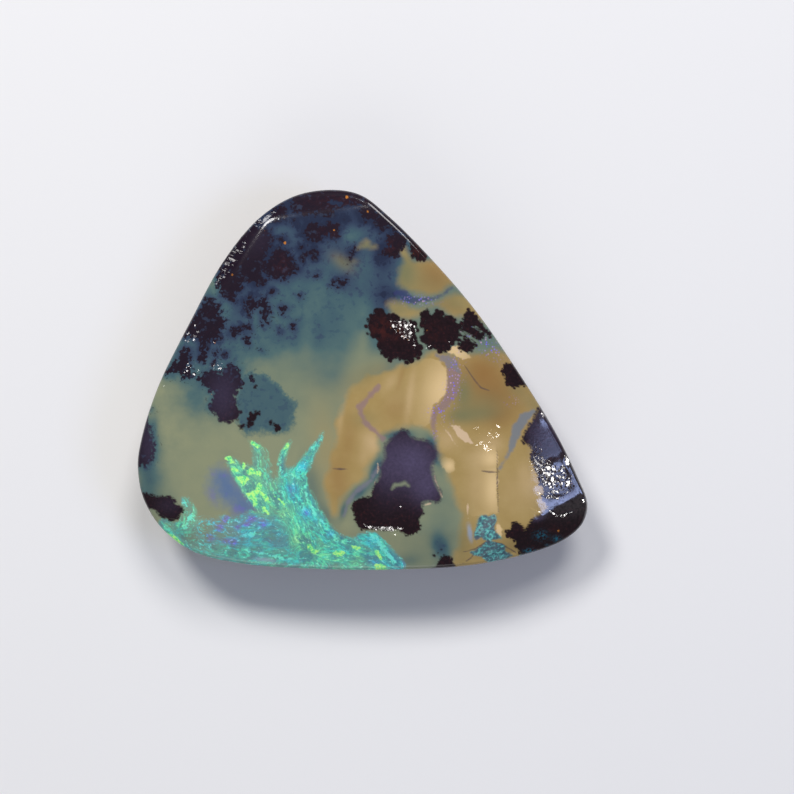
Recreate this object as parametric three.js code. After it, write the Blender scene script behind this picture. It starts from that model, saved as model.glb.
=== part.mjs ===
// A rough boulder opal, rubbed by hand to a rounded triangle: one natural piece of opal on its ironstone.
// It lies on its back. The polished face is a low dome with bevels ground round it, the wall under its edge
// is undercut natural ironstone, and the back is ground flat.
// Millimetres, +Z out of the polished face. The origin is on the flat back, under the middle of the outline.

import * as THREE from "three";

// The outline in plan, anticlockwise from the top corner, along the widest line of the stone.
const OUTLINE = [
  [-1.5, 9.5], // top corner
  [-3.4, 9.2],
  [-5.25, 8.0],
  [-7.0, 5.87], // long left side
  [-8.62, 2.9],
  [-10.25, -0.4],
  [-11.05, -2.85],
  [-11.28, -4.3], // lower left corner
  [-11.05, -5.9],
  [-10.15, -7.4],
  [-8.55, -8.6],
  [-6.15, -9.2], // bottom side
  [-2.15, -9.48],
  [1.85, -9.5],
  [5.35, -9.3],
  [8.25, -8.75],
  [10.15, -8.05], // lower right corner
  [11.05, -7.25],
  [11.28, -6.3],
  [10.75, -4.9],
  [9.65, -2.7], // long right side
  [7.85, 0.2],
  [5.6, 3.45],
  [3.32, 6.1],
  [1.35, 8.08],
  [-0.12, 9.22],
];
const MIDDLE = new THREE.Vector2(-0.2, -2.0); // the thick middle of the triangle, where the dome is highest

// The polished face.
const THICKNESS = 4.6; // back to the top of the dome
const DOME_RADIUS = 75; // how flat the dome is
const RIDGE_ROUND = 0.12; // how softly a facet meets the dome
const RIM_RADIUS = 0.3; // the last rounding of the face into the wall
const RIM_CROWDING = 0.85; // below 1 the rings of the face stand closer together towards the rim

// Facets left by the lap. Each one faces a direction in plan, in degrees from +X, and falls away at its dip
// beyond a straight ridge, which lies this far from the origin in that direction.
const FACETS = [
  { name: "left bevel", faces: 148, ridge: 8.3, dip: 27 },
  { name: "top bevel", faces: 98, ridge: 8.6, dip: 24 },
  { name: "right bevel", faces: 37, ridge: 6.3, dip: 30 },
  { name: "lower band", faces: 269, ridge: 7.5, dip: 14 },
  { name: "lower left corner", faces: 213, ridge: 11.4, dip: 20 },
  { name: "lower right corner", faces: 302, ridge: 10.6, dip: 22 },
  { name: "right shoulder", faces: 8, ridge: 7.4, dip: 8 },
  { name: "left shoulder", faces: 172, ridge: 7.0, dip: 4 },
];

// The ironstone wall and back.
const ARRIS_HEIGHT = 0.45; // the back's worn edge starts this far above the back
const ARRIS_WIDTH = 0.55; // the worn edge's width in plan
const WALL_UNDERCUT = 0.65; // how far in the wall has come at the top of that edge
const WALL_BULGE = 1.7; // above 1 the wall drops steeply at first and comes in more lower down
const LEDGE_DEPTH = 0.14; // the step in under the opal, where the softer ironstone has worn back
const LEDGE_AT = 0.36; // how far down the wall that step is, from 0 at the rim to 1 at the worn edge
const LEDGE_SPREAD = 0.1; // over how much of the wall it is spread

// The lumps of the natural wall, as waves round the stone: how many, how deep they cut in, where they start,
// and how far they lean round from the rim to the back. They fade out towards the rim.
const WALL_WAVES = [
  { count: 2, depth: 0.16, start: 0.6, lean: 0.5 },
  { count: 5, depth: 0.12, start: 2.1, lean: -1.3 },
  { count: 9, depth: 0.09, start: 0.0, lean: 2.2 },
  { count: 15, depth: 0.06, start: 1.2, lean: -3.1 },
];
const WAVES_FADE = 0.3; // the waves have their full depth from this far down the wall

// The mesh: steps round the outline, and rings on each stretch of the section.
const STEPS_ROUND = 116;
const FACE_RINGS = 22;
const RIM_RINGS = 3;
const WALL_RINGS = 8;
const ARRIS_RINGS = 3;

const STONE_COLOUR = 0x6f7a63;

// ln(1 + e^t), a ramp that is 0 below 0 and t above it, with a rounded corner between.
function roundedRamp(t) {
  return Math.max(t, 0) + Math.log1p(Math.exp(-Math.abs(t)));
}

// Height of the polished face: the dome, less what each facet takes off beyond its ridge.
function faceHeight(x, y) {
  const fromMiddle = Math.hypot(x - MIDDLE.x, y - MIDDLE.y);
  let height = THICKNESS - fromMiddle ** 2 / (2 * DOME_RADIUS);
  for (const { faces, ridge, dip } of FACETS) {
    const direction = THREE.MathUtils.degToRad(faces);
    const past = x * Math.cos(direction) + y * Math.sin(direction) - ridge;
    height -= Math.tan(THREE.MathUtils.degToRad(dip)) * RIDGE_ROUND * roundedRamp(past / RIDGE_ROUND);
  }
  return height;
}

// Evenly spaced points round the outline, on one smooth closed curve.
function outlinePoints() {
  const corners = OUTLINE.map(([x, y]) => new THREE.Vector3(x, y, 0));
  const points = new THREE.CatmullRomCurve3(corners, true, "centripetal").getSpacedPoints(STEPS_ROUND);
  points.pop(); // the last repeats the first
  return points.map(({ x, y }) => new THREE.Vector2(x, y));
}

// How far in from the outline the wall is at a bearing from the middle, a share of the way down it: the
// undercut, the ledge under the opal and the lumps.
function wallInset(bearing, share) {
  const undercut = WALL_UNDERCUT * share ** WALL_BULGE;
  const ledge = LEDGE_DEPTH * THREE.MathUtils.smoothstep(share, LEDGE_AT, LEDGE_AT + LEDGE_SPREAD);
  const fade = Math.min(1, share / WAVES_FADE);
  let lumps = 0;
  for (const { count, depth, start, lean } of WALL_WAVES) {
    lumps += (depth / 2) * (1 + Math.sin(count * bearing + start + lean * share));
  }
  return undercut + ledge + fade * lumps;
}

// One section of the stone at an outline point, from next to the middle of the face, out over the rim,
// down the wall and in to the flat back. Each station is moved in from the outline towards the middle.
function section(rimPoint) {
  const outwards = rimPoint.clone().sub(MIDDLE);
  const reach = outwards.length();
  outwards.normalize();
  const inFrom = (inset) => rimPoint.clone().addScaledVector(outwards, -inset);
  const stations = [];

  const faceReach = reach - RIM_RADIUS;
  for (let ring = 1; ring <= FACE_RINGS; ring++) {
    const share = ring / FACE_RINGS;
    const { x, y } = inFrom(reach - faceReach * share ** RIM_CROWDING);
    stations.push([x, y, faceHeight(x, y)]);
  }

  const rimStart = inFrom(RIM_RADIUS);
  const rimHeight = faceHeight(rimStart.x, rimStart.y);
  for (let ring = 1; ring <= RIM_RINGS; ring++) {
    const turn = (ring / RIM_RINGS) * (Math.PI / 2);
    const { x, y } = inFrom(RIM_RADIUS * (1 - Math.sin(turn)));
    stations.push([x, y, rimHeight - RIM_RADIUS * (1 - Math.cos(turn))]);
  }

  const girdle = rimHeight - RIM_RADIUS;
  const bearing = outwards.angle();
  for (let ring = 1; ring <= WALL_RINGS; ring++) {
    const share = ring / WALL_RINGS;
    const { x, y } = inFrom(wallInset(bearing, share));
    stations.push([x, y, THREE.MathUtils.lerp(girdle, ARRIS_HEIGHT, share)]);
  }

  const foot = wallInset(bearing, 1);
  for (let ring = 1; ring <= ARRIS_RINGS; ring++) {
    const turn = (ring / ARRIS_RINGS) * (Math.PI / 2);
    const { x, y } = inFrom(foot + ARRIS_WIDTH * (1 - Math.cos(turn)));
    stations.push([x, y, ARRIS_HEIGHT * (1 - Math.sin(turn))]);
  }
  return stations;
}

// The closed surface: sections side by side all round, joined to one point in the middle of the face and one
// in the middle of the back. Triangles run anticlockwise seen from outside.
function stoneGeometry() {
  const sections = outlinePoints().map(section);
  const rings = sections[0].length;
  const positions = sections.flat(2);
  const at = (step, ring) => (step % sections.length) * rings + ring;
  const faceMiddle = sections.length * rings;
  const backMiddle = faceMiddle + 1;
  positions.push(MIDDLE.x, MIDDLE.y, faceHeight(MIDDLE.x, MIDDLE.y));
  positions.push(MIDDLE.x, MIDDLE.y, 0);

  const triangles = [];
  for (let step = 0; step < sections.length; step++) {
    const next = step + 1;
    triangles.push(faceMiddle, at(step, 0), at(next, 0));
    for (let ring = 0; ring < rings - 1; ring++) {
      triangles.push(at(step, ring), at(step, ring + 1), at(next, ring + 1));
      triangles.push(at(step, ring), at(next, ring + 1), at(next, ring));
    }
    triangles.push(backMiddle, at(next, rings - 1), at(step, rings - 1));
  }

  const geometry = new THREE.BufferGeometry();
  geometry.setAttribute("position", new THREE.Float32BufferAttribute(positions, 3));
  geometry.setIndex(triangles);
  geometry.computeVertexNormals();
  return geometry;
}

const stone = new THREE.Mesh(
  stoneGeometry(),
  new THREE.MeshStandardMaterial({ color: STONE_COLOUR, roughness: 0.15, metalness: 0 }),
);
stone.name = "boulder_opal";

const part = new THREE.Group();
part.add(stone);

export default part;
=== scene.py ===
import bpy
import numpy as np
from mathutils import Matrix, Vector


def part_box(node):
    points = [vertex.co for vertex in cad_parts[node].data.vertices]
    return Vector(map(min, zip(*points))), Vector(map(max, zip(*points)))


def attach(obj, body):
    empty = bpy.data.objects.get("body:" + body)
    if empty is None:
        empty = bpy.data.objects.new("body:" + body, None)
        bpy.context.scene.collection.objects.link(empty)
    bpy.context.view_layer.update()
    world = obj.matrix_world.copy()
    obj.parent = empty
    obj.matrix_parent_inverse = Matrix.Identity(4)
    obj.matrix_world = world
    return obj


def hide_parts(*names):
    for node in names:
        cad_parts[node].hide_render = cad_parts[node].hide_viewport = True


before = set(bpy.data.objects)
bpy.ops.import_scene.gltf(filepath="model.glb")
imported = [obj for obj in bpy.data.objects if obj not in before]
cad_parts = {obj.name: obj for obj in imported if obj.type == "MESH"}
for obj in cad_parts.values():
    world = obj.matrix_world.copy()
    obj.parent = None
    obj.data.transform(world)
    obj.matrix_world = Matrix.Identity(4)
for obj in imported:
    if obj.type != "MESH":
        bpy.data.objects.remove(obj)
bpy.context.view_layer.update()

# The stone's form: one natural piece of boulder opal, opal grown in and on brown ironstone. A hand lap rubbed
# it to a rounded triangle, with a low polished dome and straight bevels on its face. The wall is natural
# ironstone, the back is sawn and ground flat, and the stone lies loose on it.
MM = 0.001  # the sizes of the stone are in millimetres, and Blender's are in metres

OUTLINE = [  # in plan, anticlockwise from the top corner
    (-1.5, 9.5), (-3.4, 9.2), (-5.25, 8.0), (-7.0, 5.87), (-8.62, 2.9), (-10.25, -0.4), (-11.05, -2.85),
    (-11.28, -4.3), (-11.05, -5.9), (-10.15, -7.4), (-8.55, -8.6), (-6.15, -9.2), (-2.15, -9.48),
    (1.85, -9.5), (5.35, -9.3), (8.25, -8.75), (10.15, -8.05), (11.05, -7.25), (11.28, -6.3),
    (10.75, -4.9), (9.65, -2.7), (7.85, 0.2), (5.6, 3.45), (3.32, 6.1), (1.35, 8.08), (-0.12, 9.22),
]
MIDDLE = np.array([-0.2, -2.0])
THICKNESS = (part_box("boulder_opal")[1].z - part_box("boulder_opal")[0].z) / MM
DOME_RADIUS = 75
RIDGE_ROUND = 0.12
RIM_RADIUS = 0.3
FACETS = [  # the bearing that each faces, its ridge's distance from the origin, and its dip
    (148, 8.3, 27), (98, 8.6, 24), (37, 6.3, 30), (269, 7.5, 14),
    (213, 11.4, 20), (302, 10.6, 22), (8, 7.4, 8), (172, 7.0, 4),
]
ARRIS_HEIGHT, ARRIS_WIDTH = 0.45, 0.55
WALL_UNDERCUT, WALL_BULGE = 0.65, 1.7
LEDGE_DEPTH, LEDGE_AT, LEDGE_SPREAD = 0.14, 0.36, 0.1
WALL_WAVES = [  # how many go round the stone, how deep they are, where they start, and how far they lean
    (2, 0.16, 0.6, 0.5), (5, 0.12, 2.1, -1.3), (9, 0.09, 0.0, 2.2), (15, 0.06, 1.2, -3.1),
]
WAVES_FADE = 0.3
WALL_GRAIN = 0.11  # how deep the wall's natural grain is
GRAIN_SIZES = (0.25, 2.4)  # its finest and its coarsest waves
GRAIN_FADE = 0.25  # it has its full depth from this share of the way down the wall

CELLS = 250  # the face is a square grid of this many cells a side, pressed out to the outline
RIM_RINGS, WALL_RINGS, ARRIS_RINGS = 4, 18, 4
SPAN_STEPS = 24  # a curve is worked out at this many places between two of its given points


def closed_curve(points, steps):
    """Evenly spaced points on a smooth closed curve through the given ones: between two of them a cubic that
    leaves and arrives along tangents weighed by the square roots of the chords beside it."""
    knots = np.array(points, float)
    before, after, later = (np.roll(knots, shift, axis=0) for shift in (1, -1, -2))
    first, span, last = (np.linalg.norm(b - a, axis=1)[:, None] ** 0.5
                         for a, b in ((before, knots), (knots, after), (after, later)))
    leaving = span * ((knots - before) / first - (after - before) / (first + span) + (after - knots) / span)
    arriving = span * ((after - knots) / span - (later - knots) / (span + last) + (later - after) / last)
    t = np.linspace(0, 1, SPAN_STEPS, endpoint=False)[:, None]
    a, b, m, n = (rows[:, None] for rows in (knots, after, leaving, arriving))
    fine = (a + m * t + (3 * (b - a) - 2 * m - n) * t**2 + (2 * (a - b) + m + n) * t**3).reshape(-1, 2)
    fine = np.vstack([fine, fine[:1]])
    length = np.append(0, np.cumsum(np.linalg.norm(np.diff(fine, axis=0), axis=1)))
    places = np.linspace(0, length[-1], steps, endpoint=False)
    return np.stack([np.interp(places, length, fine[:, axis]) for axis in (0, 1)], axis=1)


def smoothstep(value, low, high):
    """0 below low, 1 above high, and 3t² - 2t³ between, t being the share of the way."""
    t = np.clip((value - low) / (high - low), 0, 1)
    return t * t * (3 - 2 * t)


def face_height(x, y):
    """The dome, thickness - r² / 2R, less tan(dip) times a rounded ramp of how far past each ridge it is."""
    height = THICKNESS - ((x - MIDDLE[0]) ** 2 + (y - MIDDLE[1]) ** 2) / (2 * DOME_RADIUS)
    for faces, ridge, dip in FACETS:
        faces, dip = np.radians((faces, dip))
        past = x * np.cos(faces) + y * np.sin(faces) - ridge
        height = height - np.tan(dip) * RIDGE_ROUND * np.logaddexp(0, past / RIDGE_ROUND)
    return height


def wall_inset(bearing, share):
    """How far in the wall is, a share of the way down: an undercut share^bulge, a ledge, and waves round it
    that lean as they go down."""
    lumps = sum(depth / 2 * (1 + np.sin(count * bearing + start + lean * share))
                for count, depth, start, lean in WALL_WAVES)
    ledge = LEDGE_DEPTH * smoothstep(share, LEDGE_AT, LEDGE_AT + LEDGE_SPREAD)
    return WALL_UNDERCUT * share**WALL_BULGE + ledge + np.minimum(1, share / WAVES_FADE) * lumps


def crags(places, sizes, count, seed):
    """A rough field in space, from about 0 to 1: the sum of a count of sine waves of random direction and
    phase, whose lengths run between two sizes and whose heights follow their lengths, folded to ridges."""
    rng = np.random.default_rng(seed)
    lengths = np.geomspace(*sizes, count)
    ways = rng.normal(size=(count, 3))
    ways *= (2 * np.pi / lengths / np.linalg.norm(ways, axis=1))[:, None]
    waves = np.sin(places @ ways.T + rng.uniform(0, 2 * np.pi, count))
    return np.abs(waves @ lengths) / lengths.sum() * 2


# The face: a square grid whose rings of cells are pressed out to rings of the outline's own form.
across, up = np.meshgrid(np.linspace(-1, 1, CELLS + 1), np.linspace(-1, 1, CELLS + 1))
reach = np.maximum(abs(across), abs(up))
sideways = abs(across) >= abs(up)
quarter = np.where(sideways, np.where(across >= 0, 0, 0.5), np.where(up > 0, 0.25, 0.75))
wide, tall = np.where(sideways & (reach > 0), across, 1), np.where(sideways, 1, up)
turn = (quarter + np.where(sideways, up / wide, -across / tall) / 8) % 1

around = 4 * CELLS
rim = closed_curve(OUTLINE, around)
rim = np.vstack([rim, rim[:1]])
toward = np.stack([np.interp(turn * around, np.arange(around + 1), rim[:, axis]) for axis in (0, 1)], axis=-1)
toward -= MIDDLE
full = np.linalg.norm(toward, axis=-1)
face = MIDDLE + toward * (reach * (1 - RIM_RADIUS / full))[..., None]
face = np.dstack([face, face_height(*np.moveaxis(face, -1, 0))]).reshape(-1, 3)

# The rim, wall and worn back edge: rings of points, each moved in from the outline towards the middle.
start = np.roll(rim[:-1], CELLS // 2, axis=0)
outwards = start - MIDDLE
outwards /= np.linalg.norm(outwards, axis=1)[:, None]
bearing = np.arctan2(outwards[:, 1], outwards[:, 0])
shoulder = face_height(*(start - RIM_RADIUS * outwards).T)

stations = []  # of each ring: how far in it is, its height, and how far in its markings are read
for turned in np.arange(1, RIM_RINGS + 1) / RIM_RINGS * np.pi / 2:
    inset = np.full(around, RIM_RADIUS * (1 - np.sin(turned)))
    stations.append((inset, shoulder - RIM_RADIUS * (1 - np.cos(turned)), inset))
girdle = shoulder - RIM_RADIUS
DEEPER_IN = 0.5  # down the wall the markings are those of the face this far further in, for each mm down
for share in np.arange(1, WALL_RINGS + 1) / WALL_RINGS:
    height = girdle + (ARRIS_HEIGHT - girdle) * share
    stations.append((wall_inset(bearing, share), height, DEEPER_IN * (girdle - height)))
foot = wall_inset(bearing, 1.0)
for turned in np.arange(1, ARRIS_RINGS + 1) / ARRIS_RINGS * np.pi / 2:
    height = np.full(around, ARRIS_HEIGHT * (1 - np.sin(turned)))
    stations.append((foot + ARRIS_WIDTH * (1 - np.cos(turned)), height, DEEPER_IN * (girdle - height)))

inset, height, read_in = (np.array(part) for part in zip(*stations))
rings = np.dstack([start - inset[..., None] * outwards, height])
down_wall = np.clip((girdle - height) / (girdle - ARRIS_HEIGHT), 0, 1)
grain = WALL_GRAIN * crags(rings.reshape(-1, 3), GRAIN_SIZES, count=60, seed=3).reshape(height.shape)
grain *= smoothstep(down_wall, 0.0, GRAIN_FADE) * smoothstep(height, 0.0, ARRIS_HEIGHT)
rings[..., :2] -= grain[..., None] * outwards

vertices = np.vstack([face, rings.reshape(-1, 3), [[*MIDDLE, 0]]])
plan = np.vstack([face[:, :2], (start - read_in[..., None] * outwards).reshape(-1, 2), [MIDDLE]])
below_rim = np.concatenate([np.zeros(len(face)), np.maximum(girdle - height, 0).ravel(), [THICKNESS]])

grid = np.arange((CELLS + 1) ** 2).reshape(CELLS + 1, CELLS + 1)
edge = np.concatenate([grid[:-1, -1], grid[-1, :0:-1], grid[:0:-1, 0], grid[0, :-1]])
hoops = np.vstack([edge, len(face) + np.arange(height.size).reshape(height.shape)])
onward = np.roll(hoops, -1, axis=1)
quads = np.vstack([
    np.stack([grid[:-1, :-1], grid[:-1, 1:], grid[1:, 1:], grid[1:, :-1]], axis=-1).reshape(-1, 4),
    np.stack([hoops[:-1], hoops[1:], onward[1:], onward[:-1]], axis=-1).reshape(-1, 4),
])
fan = np.stack([np.full(around, len(vertices) - 1), onward[-1], hoops[-1]], axis=-1)

mesh = bpy.data.meshes.new("opal_stone")
mesh.vertices.add(len(vertices))
mesh.vertices.foreach_set("co", (vertices * MM).ravel())
corners = np.concatenate([quads.ravel(), fan.ravel()])
sides = np.concatenate([np.full(len(quads), 4), np.full(len(fan), 3)])
mesh.loops.add(len(corners))
mesh.loops.foreach_set("vertex_index", corners)
mesh.polygons.add(len(sides))
mesh.polygons.foreach_set("loop_start", np.append(0, np.cumsum(sides)[:-1]))
mesh.polygons.foreach_set("loop_total", sides)
mesh.update(calc_edges=True)
mesh.shade_smooth()
stone = bpy.data.objects.new("opal_stone", mesh)
bpy.context.scene.collection.objects.link(stone)
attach(stone, "root")
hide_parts("boulder_opal")

# The stone's markings, each worked out at the mesh's points from listed outlines and spots, in
# millimetres in plan. They are depths and shares, which the material turns into edges and colours.
FURTHEST = 1.0  # no depth goes further below 0 than this
LOOP_STEPS = 10  # an outline is cut into this many short stretches for each of its points


def mark(name, values):
    """Stores a marking at the mesh's points under this name, for the material to read."""
    mesh.attributes.new(name, "FLOAT", "POINT").data.foreach_set("value", values.astype(np.float32))


def inside(points):
    """How far in a closed curve through the points each place is, and less than 0 outside it: the distance to
    the nearest of its short stretches, with its sign from how many of them a line to the right crosses."""
    loop = closed_curve(points, LOOP_STEPS * len(points)).astype(np.float32)
    run = np.roll(loop, -1, axis=0) - loop
    near = ((plan > loop.min(0) - FURTHEST) & (plan < loop.max(0) + FURTHEST)).all(1)
    place = plan[near].astype(np.float32)[:, None]
    share = np.clip(((place - loop) * run).sum(2) / (run**2).sum(1), 0, 1)
    gap = np.linalg.norm(place - loop - share[..., None] * run, axis=2).min(1)
    above, above_next = loop[:, 1] > place[..., 1], (loop + run)[:, 1] > place[..., 1]
    with np.errstate(divide="ignore", invalid="ignore"):
        crossing = loop[:, 0] + (place[..., 1] - loop[:, 1]) * run[:, 0] / run[:, 1]
    odd = ((above != above_next) & (place[..., 0] < crossing)).sum(1) % 2 == 1
    depth = np.full(len(plan), -FURTHEST)
    depth[near] = np.where(odd, gap, -np.minimum(gap, FURTHEST))
    return depth


def discs(spots):
    """How far in the nearest of many round spots each place is: the greatest of radius less distance."""
    depth = np.full(len(plan), -FURTHEST)
    for x, y, radius in spots:
        near = (abs(plan[:, 0] - x) < radius + FURTHEST) & (abs(plan[:, 1] - y) < radius + FURTHEST)
        depth[near] = np.maximum(depth[near], radius - np.hypot(plan[near, 0] - x, plan[near, 1] - y))
    return depth


def stroke(points):
    """A band along a line through points (x, y, half-width). For each place: how far in the band it is, how
    far along the line and how far to the left of it, all from the nearest point of the line."""
    knots = np.array(points, float)
    run = np.diff(knots, axis=0)
    length = np.linalg.norm(run[:, :2], axis=1)
    rel = plan[:, None] - knots[:-1, :2]
    share = np.clip((rel * run[:, :2]).sum(2) / length**2, 0, 1)
    off = rel - share[..., None] * run[:, :2]
    gap = np.linalg.norm(off, axis=2)
    nearest = gap.argmin(1)
    row = np.arange(len(plan))
    share, gap, off = share[row, nearest], gap[row, nearest], off[row, nearest]
    side = np.sign(run[nearest, 0] * off[:, 1] - run[nearest, 1] * off[:, 0])
    along = np.append(0, np.cumsum(length))[nearest] + share * length[nearest]
    return knots[nearest, 2] + share * run[nearest, 2] - gap, along, side * gap


def clouds(lobes):
    """Soft clouds (x, y, half-width, half-height, strength, tilt), each strength · exp(-(u² + v²)), where
    (u, v) is the place as shares of the two halves, turned by the tilt in degrees, if there is one. Where
    clouds overlap, what each of them leaves clear is multiplied."""
    clear = np.ones(len(plan))
    for x, y, half_x, half_y, strength, *tilt in lobes:
        tilt = np.radians(sum(tilt))
        u = ((plan[:, 0] - x) * np.cos(tilt) + (plan[:, 1] - y) * np.sin(tilt)) / half_x
        v = ((plan[:, 1] - y) * np.cos(tilt) - (plan[:, 0] - x) * np.sin(tilt)) / half_y
        clear *= 1 - strength * np.exp(-(u**2 + v**2))
    return 1 - clear


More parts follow.
